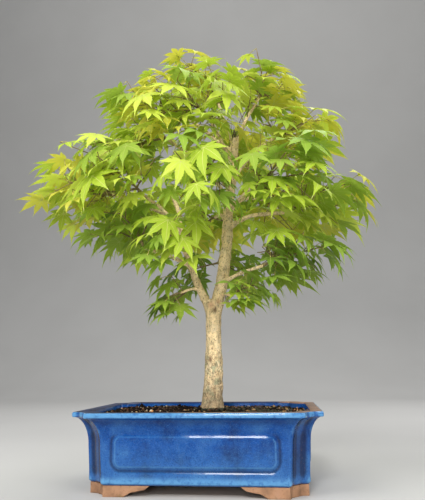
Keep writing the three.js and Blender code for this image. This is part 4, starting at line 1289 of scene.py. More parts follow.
class MAPLE_OT_pot(bpy.types.Operator):
    """Build the glazed pot: stepped corners, raised panels, flared cove and rolled lip"""
    bl_idname = "maple.pot"
    bl_label = "Pot"

    def execute(self, context):
        settings = context.scene.maple.pot
        outline, bends = fine_outline()
        shift = set_in_shift(outline)
        glazed = self.glazed_wall(outline, bends, shift, settings)
        dress(glazed, glaze_material(settings), "glaze", ["pot"])
        clay = clay_material(settings)
        dress(self.rim_top(outline, shift), rim_material(settings), "clay", ["pot"])
        dress(self.underside(outline, shift), clay, "clay", ["pot"])
        for name in ("foot_front_left", "foot_front_right", "foot_back_left", "foot_back_right"):
            dress(worn_foot(name), clay, "clay", [name])
        return {"FINISHED"}

    def glazed_wall(self, outline, bends, shift, settings):
        outer = outer_levels()
        points = lofted(outer, outline, shift)
        around = np.tile(outline, (len(outer), 1))
        relief, thin = wall_relief(around, points, settings)
        fade = smooth_step(FOOT_HEIGHT, FOOT_HEIGHT + 2, points[:, 2])
        fade *= smooth_step(COVE_START + 16, COVE_START + 8, points[:, 2])
        outward = -np.tile(shift, (len(outer), 1))
        outward = np.where(np.abs(outward) > 0.999, outward, 0)
        points[:, :2] += outward * (relief * fade)[:, None]
        thin = thin * fade + 0.5 * np.tile(bends, len(outer)) + self.lip_thinness_and_light(points[:, 2])
        points[:, :2] += outward * (WALL_UNEVENNESS * self.unevenness(points))[:, None]
        inner = [(inner_set_in(height), height) for height in INSIDE_HEIGHTS]
        inner_points = lofted(inner, outline, shift)
        piece = new_object("pot_glaze", np.vstack([points, inner_points]), np.vstack([
            band_faces(len(outer), len(outline)),
            band_faces(len(inner), len(outline)) + len(points),
        ]))
        add_attribute(piece, "thin", np.concatenate([thin, np.full(len(inner_points), -0.2)]))
        return piece

    def lip_thinness_and_light(self, height):
        low_lip = POT_HEIGHT - LIP_HEIGHT
        # Darker in the cove under the lip: pooled glaze, and painted shade.
        pooled_and_shade = 0.3 * bell(height, low_lip - 5, 4)
        # The lip is paler: glaze thin on its roll, and a painted highlight.
        return LIP_THINNESS_AND_HIGHLIGHT * smooth_step(low_lip - 2, low_lip + 2, height) - pooled_and_shade

    def unevenness(self, points):
        return np.array([noise.noise(Vector(point) * WALL_UNEVENNESS_SCALE) for point in points])

    def rim_top(self, outline, shift):
        inner = inner_set_in(POT_HEIGHT)
        levels = [(1.2, POT_HEIGHT + 0.02), (2.4, POT_HEIGHT + 0.12), (inner - 1.6, POT_HEIGHT + 0.1),
                  (inner - 0.4, POT_HEIGHT - 0.4), (inner_set_in(79), POT_HEIGHT - 1.6)]
        points = lofted(levels, outline, shift)
        piece = new_object("pot_rim_top", points, band_faces(len(levels), len(outline)))
        right = smooth_step(60, RIM_LENGTH / 2 - 14, points[:, 0])
        front = smooth_step(-70, 10, points[:, 0]) * (points[:, 1] < CORNER_NOTCH - RIM_WIDTH / 2)
        add_attribute(piece, "wiped", np.maximum(right, 0.7 * front))
        return piece

    def underside(self, outline, shift):
        """The flat unglazed bottom, joined to a point in the middle."""
        levels = [(WALL_SET_IN + inward, FOOT_HEIGHT) for inward in (LOW_ROUND, 6, 40)]
        columns = len(outline)
        points = np.vstack([lofted(levels, outline, shift), [[0, 0, FOOT_HEIGHT]]])
        faces = band_faces(len(levels), columns)[:, ::-1].tolist()
        last, centre = 2 * columns, 3 * columns
        faces += [[last + (index + 1) % columns, last + index, centre] for index in range(columns)]
        return new_object("pot_underside", points, faces)


def remeshed(source, name, voxel, smoothing):
    """A new object whose mesh is the source's, rebuilt from small even faces."""
    solid = source.modifiers.new("even", "REMESH")
    solid.mode = "VOXEL"
    solid.voxel_size = voxel
    if smoothing:
        soften = source.modifiers.new("soften", "SMOOTH")
        soften.factor = 0.5
        soften.iterations = smoothing
    evaluated = source.evaluated_get(bpy.context.evaluated_depsgraph_get())
    mesh = bpy.data.meshes.new_from_object(evaluated)
    mesh.name = name
    mesh.polygons.foreach_set("use_smooth", np.full(len(mesh.polygons), True))
    piece = bpy.data.objects.new(name, mesh)
    bpy.context.scene.collection.objects.link(piece)
    bpy.data.objects.remove(source)
    return piece


def vertex_array(mesh):
    points = np.empty(len(mesh.vertices) * 3)
    mesh.vertices.foreach_get("co", points)
    return points.reshape(-1, 3)


def normal_array(mesh):
    normals = np.empty(len(mesh.vertices) * 3)
    mesh.vertices.foreach_get("normal", normals)
    return normals.reshape(-1, 3)


def worn_foot(name):
    """A foot from its solid's mesh, with softened edges and a hand-worked face."""
    mesh = bpy.data.objects[name].data.copy()
    source = bpy.data.objects.new(name + "_worn", mesh)
    bpy.context.scene.collection.objects.link(source)
    piece = remeshed(source, name + "_worn", FOOT_VOXEL, 2)
    points, normals = vertex_array(piece.data), normal_array(piece.data)
    amounts = np.array([noise.noise(Vector(point) / FOOT_WEAR_SCALE) for point in points]) * FOOT_WEAR
    amounts[points[:, 2] < 0.3 * MM] = 0
    points += normals * amounts[:, None]
    points[:, 2] = np.maximum(points[:, 2], 0)
    piece.data.vertices.foreach_set("co", points.ravel())
    piece.data.update()
    return piece


# Soil

# Loose grains other than the dark ones: name, share of all grains and screen colours
LIGHT_GRAINS = (
    ("grains_brown", 0.12, ((66, 46, 32), (50, 34, 24), (88, 52, 38))),
    ("grains_tan", 0.07, ((150, 120, 82), (168, 138, 96), (132, 92, 56))),
    ("grains_pale", 0.03, ((206, 190, 160), (190, 128, 76), (178, 166, 146))),
)
DARK_GRAIN_SHARE = 0.78
LARGEST_GRAIN = 2.9
BED_RINGS = 46
LITTER_BITS = 170
MOSS_TUFTS = 420
MOSS_BLADES = 4


class MAPLE_OT_soil(bpy.types.Operator):
    """Build the soil bed with its loose grains, moss and fallen bits"""
    bl_idname = "maple.soil"
    bl_label = "Soil"

    def execute(self, context):
        settings = context.scene.maple.soil
        self.top = SoilTop()
        draws = np.random.default_rng(SEED)
        soil = linear_of(settings.soil)
        bed = self.bed()
        wet = linear((18, 13, 10))
        dress(bed, earth_material("soil_bed", soil, wet, linear((44, 32, 24))), "soil", ["soil"])
        kinds = [("grains_dark", DARK_GRAIN_SHARE, (wet, linear((30, 22, 16)), soil))]
        kinds += [(name, share, map(linear, colors)) for name, share, colors in LIGHT_GRAINS]
        for name, share, colors in kinds:
            count = int(settings.grains * share)
            piece = self.grain_piece(name, count, settings.grain_size / MM, draws)
            dress(piece, earth_material(name, *colors), "soil", ["soil"])
        litter = twig_material("litter", linear((92, 62, 42)), linear((48, 32, 24)))
        dress(self.litter(draws), litter, "soil", ["soil"])
        moss = twig_material("moss", linear((56, 62, 36)), linear((26, 30, 18)))
        dress(self.moss(draws), moss, "soil", ["soil"])
        return {"FINISHED"}

    def bed(self):
        outline, _ = fine_outline()
        shift = set_in_shift(outline)
        edge = inner_set_in(SOIL_EDGE) + 0.3
        wall = outline[::3] + shift[::3] * edge
        rings, columns = BED_RINGS, len(wall)
        rows = []
        for ring in range(rings):
            inward = 1 - ring / rings
            spots = wall * inward
            rows.append(np.column_stack([spots, [self.top.height(x, y) for x, y in spots]]))
        points = np.vstack(rows + [[[0, 0, self.top.height(0, 0)]]])
        points[:columns, 2] -= 4
        faces = band_faces(rings, columns).tolist()
        last = (rings - 1) * columns
        centre = rings * columns
        faces += [[last + index, last + (index + 1) % columns, centre] for index in range(columns)]
        return new_object("soil_bed", points, faces)

    def grain_piece(self, name, count, size, draws):
        lump, faces = small_ball()
        limits = np.array([RIM_LENGTH, RIM_WIDTH]) / 2 - inner_set_in(SOIL_EDGE) - 2.5
        spots = draws.uniform(-1, 1, (count, 2)) * limits
        corner = (np.abs(spots) > limits - CORNER_NOTCH + 4).all(axis=1)
        spots[corner] *= 0.8
        sizes = size / 2 * draws.lognormal(0, 0.32, count)
        sizes = np.minimum(sizes, LARGEST_GRAIN)
        ground = np.array([self.top.height(x, y) for x, y in spots])
        heights = ground + sizes * draws.uniform(-0.2, 0.55, count)
        stretch = draws.uniform(0.6, 1.25, (count, 1, 3))
        shapes = lump[None] * (1 + draws.uniform(-0.24, 0.24, (count, len(lump), 1))) * stretch
        spun = np.einsum("nij,nvj->nvi", spins(draws, count), shapes) * sizes[:, None, None]
        points = spun + np.column_stack([spots, heights])[:, None, :]
        points[:, :, 2] = np.minimum(points[:, :, 2], POT_HEIGHT + 1)
        offsets = (np.arange(count) * len(lump))[:, None, None]
        all_faces = (faces[None] + offsets).reshape(-1, 3)
        return new_object(name, points.reshape(-1, 3), all_faces, smooth=False)

    def litter(self, draws):
        """Dry needle-like bits that lie flat on the soil, more of them on the right."""
        pile = Pile()
        for _ in range(LITTER_BITS):
            x = 96 * math.copysign(draws.uniform(0, 1) ** 0.7, draws.uniform(-0.5, 1))
            y = draws.uniform(-64, 64)
            turn, length = draws.uniform(0, math.pi), draws.uniform(4, 13)
            along = vec((math.cos(turn), math.sin(turn), draws.uniform(-0.05, 0.12)))
            middle = vec((x, y, self.top.height(x, y) + draws.uniform(0.9, 1.8)))
            bow = UP * draws.uniform(0.2, 1.2)
            line = [middle - along * length / 2, middle + bow, middle + along * length / 2]
            add_tube(pile, line, (0.25, 0.35, 0.15), 4)
        return pile.piece("soil_litter")

    def moss(self, draws):
        """Small upright tufts on the right of the soil and about the trunk's foot."""
        pile = Pile()
        for _ in range(MOSS_TUFTS):
            if draws.uniform() < 0.7:
                x, y = draws.normal(62, 22), draws.normal(-12, 26)
            else:
                turn, away = draws.uniform(0, 2 * math.pi), draws.uniform(13, 24)
                x, y = TRUNK_X + away * math.cos(turn), away * math.sin(turn)
            x, y = np.clip(x, -98, 98), np.clip(y, -66, 66)
            foot = vec((x, y, self.top.height(x, y)))
            for _ in range(MOSS_BLADES):
                lean = vec((draws.normal(0, 0.45), draws.normal(0, 0.45), 1)) * draws.uniform(1.2, 3.0)
                add_tube(pile, [foot, foot + 0.55 * lean, foot + lean], (0.5, 0.42, 0.12), 4)
        return pile.piece("soil_moss")


class SoilTop:
    """The soil's surface: the solid's rise, mound and seeded lumps, with finer lumps over them."""

    def __init__(self):
        self.columns = math.floor(RIM_LENGTH / SOIL_LUMP_SPACING + 0.5)
        self.rows = math.floor(RIM_WIDTH / SOIL_LUMP_SPACING + 0.5)
        draw = Draws(SEED)
        count = (self.columns + 1) * (self.rows + 1)
        lumps = [SOIL_LUMP * (draw() - 0.5) for _ in range(count)]
        self.lumps = np.array(lumps).reshape(self.rows + 1, self.columns + 1)

    def rise(self, x, y):
        inward = min(RIM_LENGTH / 2 - abs(x), RIM_WIDTH / 2 - abs(y)) - RIM_THICKNESS
        ends = [0, *(end for end, _ in SOIL_SLOPE)]
        heights = [SOIL_EDGE, *(top for _, top in SOIL_SLOPE)]
        away = math.hypot(x - TRUNK_X, y)
        mound = SOIL_MOUND * max(0, 1 - away / SOIL_MOUND_REACH) if inward >= ends[-1] else 0
        return np.interp(inward, ends, heights) + mound

    def lump(self, x, y):
        column = np.clip((x / RIM_LENGTH + 0.5) * self.columns, 0, self.columns - 1e-6)
        row = np.clip((y / RIM_WIDTH + 0.5) * self.rows, 0, self.rows - 1e-6)
        i, j = int(row), int(column)
        u, v = smooth_step(0, 1, column - j), smooth_step(0, 1, row - i)
        near = self.lumps[i, j] * (1 - u) + self.lumps[i, j + 1] * u
        far = self.lumps[i + 1, j] * (1 - u) + self.lumps[i + 1, j + 1] * u
        return near * (1 - v) + far * v

    def height(self, x, y):
        fine = 0.35 * noise.noise(Vector((x, y, 5)) * 0.3)
        return self.rise(x, y) + self.lump(x, y) + fine - GRAIN_BED


def small_ball():
    mesh = bmesh.new()
    bmesh.ops.create_icosphere(mesh, subdivisions=1, radius=1)
    mesh.verts.ensure_lookup_table()
    points = np.array([vertex.co[:] for vertex in mesh.verts])
    faces = np.array([[vertex.index for vertex in face.verts] for face in mesh.faces])
    mesh.free()
    return points, faces


def spins(draws, count):
    """Random turns as matrices, one for each grain."""
    quaternions = draws.normal(size=(count, 4))
    w, x, y, z = (quaternions / np.linalg.norm(quaternions, axis=1)[:, None]).T
    return np.stack([
        np.stack([1 - 2 * (y * y + z * z), 2 * (x * y - z * w), 2 * (x * z + y * w)], -1),
        np.stack([2 * (x * y + z * w), 1 - 2 * (x * x + z * z), 2 * (y * z - x * w)], -1),
        np.stack([2 * (x * z - y * w), 2 * (y * z + x * w), 1 - 2 * (x * x + y * y)], -1),
    ], 1)


# Wood

# Knots, scars and callus: x, y, z and size
KNOTS = ((4.2, -8.5, 158, 5.5), (12.5, -9.5, 139, 5), (6, -9.8, 148, 4), (17, -7, 172, 4), (9, 9.5, 165, 5),
         (1.5, 5, 120, 5), (13, -10.4, 130, 4.5), (19, 6, 148, 4.5))
SCARS = ((8, -10.2, 134, 5.4), (14.6, -8.6, 191, 4.6), (6.6, -8.6, 157, 3.4), (10.6, -9.6, 146, 2.6))
CALLUS = ((10.4, -6.4, 196, 7), (17, -6, 200, 5))

# The roots' flare, the leader's worn top, and how finely the wood is made
ROOTS = 5
ROOT_SPREAD = 2.4
ROOT_RIDGE = 2.2
ROOT_TURN = 0.6
ROOT_FADE = 7
ROOT_TOP = 110
STUMP_FROM = 400
STUMP_TO = 412
STUMP_TEAR = 3.0
MAIN_SPACING = 2.5
MAIN_SIDES = 28
BOUGH_SPACING = 1.6
BOUGH_SIDES = 14
COLLAR_REACH = 14
COLLAR_SWELL = 1.12
STUMP_SHOOTS = 26


def limb_line(limb, spacing):
    """Points along a limb about one spacing apart, and its radius at each."""
    count = max(4, int(limb.curve.lengths[-1] / spacing))
    shares = np.linspace(0, 1, count + 1)
    line = np.array([limb.curve.at(share) for share in shares])
    return line, np.array([limb.radius(share) for share in shares])


def side_width(limb, radii):
    """Radii of a side limb, swollen at its root and thickened a little at its buds."""
    shares = np.linspace(0, 1, len(radii))
    swell = 1 + 0.55 * np.exp(-shares * limb.length / 7)
    buds = 1 + 0.13 * np.maximum(0, np.cos(shares * limb.length * 2 * math.pi / 24)) ** 8
    return radii * swell * buds


class MAPLE_OT_wood(bpy.types.Operator):
    """Build the trunk, leader, boughs and the cut stump at the leader's top, with bark relief"""
    bl_idname = "maple.wood"
    bl_label = "Trunk and boughs"

    def execute(self, context):
        settings = context.scene.maple.wood
        limbs = grow_limbs()
        bark = bark_material(settings)
        trunk = self.trunk(limbs, settings)
        dress(trunk, bark, "bark", ["trunk", "leader", "left_bough"])
        boughs = self.boughs(limbs, settings)
        dress(boughs, bark, "bark", list(SIDE_LIMBS))
        dry = twig_material("old_shoots", linear((92, 70, 54)), linear((48, 36, 28)))
        dress(self.stump_shoots(limbs), dry, "bark", ["leader"])
        return {"FINISHED"}

    def trunk(self, limbs, settings):
        pile = Pile()
        for name in ("trunk", "leader", "left_bough"):
            line, radii = limb_line(limbs[name], MAIN_SPACING)
            add_tube(pile, line, radii, MAIN_SIDES)
        for name in SIDE_LIMBS:
            limb = limbs[name]
            line, radii = limb_line(limb, MAIN_SPACING)
            collar = np.linalg.norm(line - limb.curve.at(0), axis=1) < COLLAR_REACH
            wide = side_width(limb, radii)[collar] * COLLAR_SWELL
            add_tube(pile, swayed(line[collar]), wide, BOUGH_SIDES)
        source = pile.piece("wood_source")
        piece = remeshed(source, "trunk_bark", settings.voxel, 4)
        self.roughen(piece, settings.relief)
        return piece

    def boughs(self, limbs, settings):
        pile = Pile()
        draws = np.random.default_rng(SEED + 1)
        for name in SIDE_LIMBS:
            limb = limbs[name]
            line, radii = limb_line(limb, BOUGH_SPACING)
            radii = side_width(limb, radii) * draws.uniform(0.94, 1.06, len(radii))
            add_tube(pile, swayed(line), radii, BOUGH_SIDES)
        piece = pile.piece("bough_bark")
        for mark in ("scar", "callus"):
            add_attribute(piece, mark, np.zeros(len(piece.data.vertices)))
        return piece

    def roughen(self, piece, relief):
        """Ridges along the limbs, knots, scars, root flare and a torn end on the leader."""
        points, normals = (vertex_array(piece.data) - MIDDLE) / MM, normal_array(piece.data)
        amounts = np.empty(len(points))
        scar = np.zeros(len(points))
        relief = relief / MM
        for index, (x, y, z) in enumerate(points):
            ridges = noise.noise(Vector((x * 0.55, y * 0.55, z * 0.12)))
            fine = noise.noise(Vector((x * 1.5, y * 1.5, z * 0.8)) + Vector((9, 9, 9)))
            lumps = noise.noise(Vector((x * 0.16, y * 0.16, z * 0.1)))
            amounts[index] = relief * (0.8 * ridges + 0.35 * fine + 1.2 * lumps)
        for x, y, z, size in KNOTS:
            away = np.linalg.norm(points - (x, y, z), axis=1)
            amounts += 1.1 * bell(away, 0, 0.62 * size) - 0.9 * bell(away, 0, 0.25 * size)
        for x, y, z, size in SCARS:
            away = np.linalg.norm((points - (x, y, z)) * (1, 1, 0.55), axis=1)
            mark = bell(away, 0, 0.55 * size)
            amounts -= 0.8 * mark
            scar = np.maximum(scar, mark)
        callus = np.zeros(len(points))
        for x, y, z, size in CALLUS:
            away = np.linalg.norm(points - (x, y, z), axis=1)
            mark = bell(away, 0, 0.7 * size)
            amounts += 0.7 * mark
            callus = np.maximum(callus, mark)
        turn = np.arctan2(points[:, 1], points[:, 0] - TRUNK_X)
        low = np.exp(-np.maximum(points[:, 2] - SOIL_EDGE, 0) / ROOT_FADE)
        flare = ROOT_SPREAD + ROOT_RIDGE * np.cos(ROOTS * turn + ROOT_TURN)
        amounts += low * flare * (points[:, 2] < ROOT_TOP)
        top = smooth_step(STUMP_FROM, STUMP_TO, points[:, 2])
        torn = np.array([noise.noise(Vector((x * 0.9, y * 0.9, 3))) for x, y, _ in points])
        points += normals * amounts[:, None]
        points[:, 2] += top * STUMP_TEAR * torn
        piece.data.vertices.foreach_set("co", in_frame(points).ravel())
        piece.data.update()
        add_attribute(piece, "scar", scar)
        add_attribute(piece, "callus", callus)

    def stump_shoots(self, limbs):
        """Thin dead shoots that stand up round the cut top of the leader."""
        pile = Pile()
        draws = np.random.default_rng(SEED + 2)
        end = limbs["leader"].curve.at(1)
        for _ in range(STUMP_SHOOTS):
            turn, away = draws.uniform(0, 2 * math.pi), draws.uniform(1.5, 5)
            foot = end + vec((away * math.cos(turn), away * math.sin(turn), draws.uniform(-9, 0)))
            lean = vec((draws.normal(0, 0.3), draws.normal(0, 0.3), 1))
            rise = unit(lean) * draws.uniform(7, 26)
            bow = vec((draws.normal(0, 1.2), draws.normal(0, 1.2), 0))
            add_tube(pile, [foot, foot + rise / 2 + bow, foot + rise], (0.5, 0.36, 0.14), 5)
        return pile.piece("old_shoots")


# Leaves and twigs

LOBE_ANGLES = np.radians([-124, -78, -38, 0, 38, 78, 124])
LOBE_REACHES = (0.44, 0.74, 0.94, 1.0, 0.94, 0.74, 0.44)
SINUS_ANGLES = np.radians([-180, -101, -58, -19, 19, 58, 101, 180])
SINUS_REACHES = (0.03, 0.23, 0.32, 0.36, 0.36, 0.32, 0.23, 0.03)
EDGE_STATIONS = (0, 0.1, 0.13, 0.24, 0.28, 0.39, 0.43, 0.54, 0.58, 0.7, 0.74, 0.89, 1)
EDGE_WIDTHS = (1, 1.14, 1.02, 1.22, 1.04, 1.12, 0.88, 0.8, 0.58, 0.42, 0.27, 0.09, 0)
STALK_ARCH = 0.05
VEIN_WIDTH = 0.009
LOBE_WIDTH = 0.17
VEIN_LIFT = 0.16
TWIG_STEP = 4.5
TWIG_SIDES = 6
TWIG_TIP = 0.6
FINE_TIP = 0.42
BUD_SPACING = 13
BUD_REACH = 2.3
BUD_SWELL = 0.25
STALK_RADIUS = 0.5
STALK_WAIST = 0.12
STALK_SIDES = 5


def leaf_template():
    """Points and faces of a flat leaf of length one, and of the veins that lie on it.

    Each point also has its distance from the nearest lobe's midrib."""
    points, ribs, faces, veins, tips = [(0.0, 0.0)], [0.0], [], [], []
    sinus_points = []
    for angle, reach in zip(SINUS_ANGLES[1:-1], SINUS_REACHES[1:-1]):
        sinus_points.append(len(points))
        points.append((reach * math.cos(angle), reach * math.sin(angle)))
        ribs.append(reach * 0.33)
    for index, (angle, reach) in enumerate(zip(LOBE_ANGLES, LOBE_REACHES)):
        forward = np.array([math.cos(angle), math.sin(angle)])
        leftward = np.array([-forward[1], forward[0]])
        midrib = lobe_midrib(points, ribs, forward, reach)
        for side in (-1, 1):
            sinus = index if side < 0 else index + 1
            sinus_angle = SINUS_ANGLES[sinus]
            sinus_spot = SINUS_REACHES[sinus] * np.array([math.cos(sinus_angle), math.sin(sinus_angle)])
            along0, width0 = sinus_spot @ forward, abs(sinus_spot @ leftward)
            edge = []
            for station, (share, width) in enumerate(zip(EDGE_STATIONS, EDGE_WIDTHS)):
                shared = sinus - 1
                if station == 0 and 0 <= shared < len(sinus_points):
                    edge.append(sinus_points[shared])
                    continue
                if station == len(EDGE_STATIONS) - 1:
                    edge.append(midrib[-1])
                    continue
                full = max(width0, LOBE_WIDTH * (reach - along0))
                span = full * width if station else width0
                spot = (along0 + share * (reach - along0)) * forward + side * span * leftward
                edge.append(len(points))
                points.append(tuple(spot))
                ribs.append(span)
            for station in range(len(EDGE_STATIONS) - 1):
                face = [midrib[station], midrib[station + 1], edge[station + 1], edge[station]]
                face = list(dict.fromkeys(face))
                face = face if side > 0 else face[::-1]
                (tips if station == len(EDGE_STATIONS) - 2 else faces).append(face)
        veins.append([points[spot] for spot in midrib[::2]])
    return np.array(points), np.array(ribs), faces, tips, np.array(veins)


def lobe_midrib(points, ribs, forward, reach):
    midrib = [0]
    for share in EDGE_STATIONS[1:]:
        spot = forward * reach * (0.16 + 0.84 * share)
        midrib.append(len(points))
        points.append(tuple(spot))
        ribs.append(0.0)
    return midrib


def vein_template(veins):
    """Thin strips along the midribs, once above the leaf and once beneath it."""
    points, lifts, faces = [], [], []
    for line in veins:
        forward = unit(line[-1] - line[0])
        leftward = np.array([-forward[1], forward[0]])
        for lift in (1, -1):
            start = len(points)
            for station, spot in enumerate(line):
                width = VEIN_WIDTH * (1 - 0.75 * station / (len(line) - 1))
                for side in (-1, 1):
                    points.append(spot + side * width * leftward)
                    lifts.append(lift)
            for station in range(len(line) - 1):
                a = start + 2 * station
                face = [a, a + 1, a + 3, a + 2]
                faces.append(face[::-1] if lift > 0 else face)
    return np.array(points), np.array(lifts), faces


class LeafShape:
    """Bends the flat template into each leaf's own shape and sets it in its place."""

    def __init__(self, settings, draws):
        self.flat, self.ribs, self.faces, tips, veins = leaf_template()
        used = sorted({spot for face in tips for spot in face})
        self.tip_flat, self.tip_ribs = self.flat[used], self.ribs[used]
        self.tip_faces = np.array([[used.index(spot) for spot in face] for face in tips])
        self.vein_flat, self.vein_lifts, self.vein_faces = vein_template(veins)
        self.settings = settings
        self.draws = draws

    def habits(self):
        """One leaf's own turns, reaches and curls of its lobes, and its droop."""
        draw = self.draws
        return {
            "turn": draw.normal(0, 0.055, 7),
            "reach": draw.normal(1, 0.06, 7),
            "curl": draw.normal(self.settings.curl, 0.07, 7),
            "sway": draw.normal(0, 0.045, 7),
            "droop": LEAF_DROOP * draw.uniform(0.6, 1.3),
        }

    def bent(self, flat, ribs, habits):
        angles = np.arctan2(flat[:, 1], flat[:, 0])
        reaches = np.linalg.norm(flat, axis=1)
        turn, sway, stretch, curl = (np.interp(angles, LOBE_ANGLES, habits[habit])
                                     for habit in ("turn", "sway", "reach", "curl"))
        turn = turn + sway * reaches ** 2
        reach = reaches * stretch
        drop = -habits["droop"] * reach ** 2 - curl * reach ** 4 + self.settings.fold * ribs
        return np.column_stack([reach * np.cos(angles + turn), reach * np.sin(angles + turn), drop])

    def add(self, leaf, blades, veins):
        habits = self.habits()
        shape = self.bent(self.flat, self.ribs, habits)
        place = swayed(leaf.base)
        blades.add(place + leaf.length * shape @ leaf.axes, np.zeros((0, 4), int))
        start = blades.count - len(shape)
        blades.faces.extend(np.array([[v + start for v in face]]) for face in self.faces)
        strip = self.bent(self.vein_flat, np.zeros(len(self.vein_flat)), habits)
        strip[:, 2] += self.vein_lifts * VEIN_LIFT / leaf.length
        veins.add(place + leaf.length * strip @ leaf.axes, self.vein_faces)
        tip = self.bent(self.tip_flat, self.tip_ribs, habits)
        veins.add(place + leaf.length * tip @ leaf.axes, self.tip_faces)


# How a mass's palette deals its sprays out to the leaf colours. The low masses' palettes hold more of the
# darker greens, partly as painted shade, and bright and deep are painted light and painted shade.
PALETTES = {
    "lime": (("lime", 0.44), ("bright", 0.24), ("gold", 0.16), ("mid", 0.16)),
    "gold": (("gold", 0.46), ("bright", 0.22), ("lime", 0.24), ("mid", 0.08)),
    "fresh": (("lime", 0.34), ("fresh", 0.22), ("bright", 0.22), ("mid", 0.22)),
    "green": (("mid", 0.36), ("fresh", 0.24), ("lime", 0.24), ("deep", 0.16)),
}
LEAF_SLOTS = {"lime": "leaf_lime", "bright": "leaf_lime", "gold": "leaf_gold",
              "mid": "leaf_green", "deep": "leaf_green", "fresh": "leaf_green"}


def deal(palette, draw):
    share = draw.uniform()
    for color, part in PALETTES[palette]:
        share -= part
        if share <= 0:
            return color
    return PALETTES[palette][0][0]


class MAPLE_OT_foliage(bpy.types.Operator):
    """Grow the twigs, stalks and leaves of every foliage mass by the solids' own rule"""
    bl_idname = "maple.foliage"
    bl_label = "Foliage"

    def execute(self, context):
        settings = context.scene.maple.leaves
        crown = Crown(grow_limbs())
        crown.grow()
        draws = np.random.default_rng(SEED + 3)
        self.leaves(crown, settings, draws)
        self.twigs(crown, settings)
        return {"FINISHED"}

    def leaves(self, crown, settings, draws):
        shape = LeafShape(settings, draws)
        blades = {color: Pile() for color in LEAF_SLOTS}
        covers = {color: [] for color in LEAF_SLOTS}
        veins = {"light": Pile(), "green": Pile()}
        for mass in crown.masses:
            colors = {}
            for leaf, spray in zip(mass.leaves, mass.sprays):
                if spray not in colors:
                    colors[spray] = deal(mass.palette, draws)
                color = colors[spray]
                kind = "green" if LEAF_SLOTS[color] == "leaf_green" else "light"
                shape.add(leaf, blades[color], veins[kind])
                if mass.name not in covers[color]:
                    covers[color].append(mass.name)
        for color, pile in blades.items():
            tint = linear_of(getattr(settings, color))
            glow = tuple(min(1, 1.35 * value + 0.01) for value in tint)
            piece = pile.piece("leaves_" + color)
            dress(piece, leaf_material("leaf_" + color, tint, glow), LEAF_SLOTS[color], covers[color])
        vein, mid = linear_of(settings.vein), linear_of(settings.mid)
        green = tuple((one + other) / 2 for one, other in zip(vein, mid))
        for kind, tint, slot in (("light", vein, "leaf_lime"), ("green", green, "leaf_green")):
            piece = veins[kind].piece("veins_" + kind)
            dress(piece, leaf_material("vein_" + kind, tint, tint), slot, list(MASSES))

    def twigs(self, crown, settings):
        twigs, stalks = Pile(), Pile()
        for mass in crown.masses:
            self.add_stem(twigs, mass)
            for start, end in mass.twigs:
                end = self.leafy_end(crown, mass, start, end)
                self.add_twig(twigs, start, end, TWIG_WIDTH / 2, TWIG_TIP)
            for start, end in crown.fine[mass.name]:
                self.add_twig(twigs, start, end, FINE_WIDTH / 2, FINE_TIP)
            for node, leaf in mass.stalks:
                self.add_stalk(stalks, node, leaf)
        masses = list(MASSES)
        young = twig_material("young_twig", linear((150, 138, 86)), linear((118, 96, 62)))
        dress(twigs.piece("twigs"), young, "bark", masses)
        stalk = twig_material("leaf_stalk", linear_of(settings.stalk), linear((162, 138, 76)))
        dress(stalks.piece("leaf_stalks"), stalk, "leaf_gold", masses)

    def add_stem(self, pile, mass):
        start, hub, width = mass.stem
        self.add_twig(pile, start, hub, width / 2, TWIG_WIDTH / 2)

    def add_twig(self, pile, start, end, thick, thin):
        """A tapering twig, thicker at its buds."""
        length = np.linalg.norm(end - start)
        shares = np.linspace(0, 1, max(4, int(length / TWIG_STEP)) + 1)
        line = swayed(start + shares[:, None] * (end - start))
        radii = thick + (thin - thick) * shares
        at_bud = np.abs(((shares * length) % BUD_SPACING) - BUD_SPACING / 2) < BUD_REACH
        add_tube(pile, line, radii * (1 + BUD_SWELL * at_bud), TWIG_SIDES)

    def add_stalk(self, pile, node, leaf):
        shares = np.linspace(0, 1, 6)[:, None]
        reach = np.linalg.norm(leaf.base - node)
        arch = UP * STALK_ARCH * reach * np.sin(shares * math.pi)
        line = swayed(node + shares * (leaf.base - node)) + arch
        radii = STALK_RADIUS - STALK_WAIST * np.sin(shares[:, 0] * math.pi)
        add_tube(pile, line, radii, STALK_SIDES)

    def leafy_end(self, crown, mass, start, end):
        """Where a twig's last leaf or shoot stands, so that no bare end sticks out."""
        nodes = [node for node, _ in mass.stalks] + [shoot[0] for shoot in crown.fine[mass.name]]
        along = end - start
        reached = 0.2
        for node in nodes:
            share = (node - start) @ along / (along @ along)
            if np.linalg.norm(start + share * along - node) < 0.01:
                reached = max(reached, share)
        return start + reached * along


# Floor, light and camera

CAMERA_PLACE = (86.5, -640, 122.4)
CAMERA_TURN = 6.7
CAMERA_TILT = 12.4
CAMERA_ROLL = -0.7
CAMERA_LENS = 39.1
FLOOR_NEAR = -6
FLOOR_HALF_LENGTH = 6
FLOOR_BEND_AT = 1.6
FLOOR_BEND = 1.2
BACKDROP_HEIGHT = 5
FLOOR_TONES = ((0.48, 0.475, 0.46), (0.5, 0.495, 0.48))
SKY_COLOR = (0.86, 0.88, 0.92, 1)
SKY_STRENGTH = 0.24

# Lamps in metres: name, place, point that each is turned to, size and power
LAMPS = (
    ("front_light", (-0.05, -1.35, 0.95), (0, 0, 0.25), 0.3, 13),
    ("low_light", (-0.05, -1.35, 0.3), (0, 0, 0.15), 0.26, 5),
    ("left_light", (-1.0, -1.0, 1.6), (0, 0, 0.3), 0.9, 21),
    ("fill_light", (1.2, -1.1, 0.9), (0, 0, 0.3), 0.9, 11),
    ("back_light", (0.4, 1.1, 1.7), (0, 0, 0.35), 1.0, 15),
    ("backdrop_light", (0, 0.6, 3.6), (0, 3.0, 1.0), 3.0, 40),
)


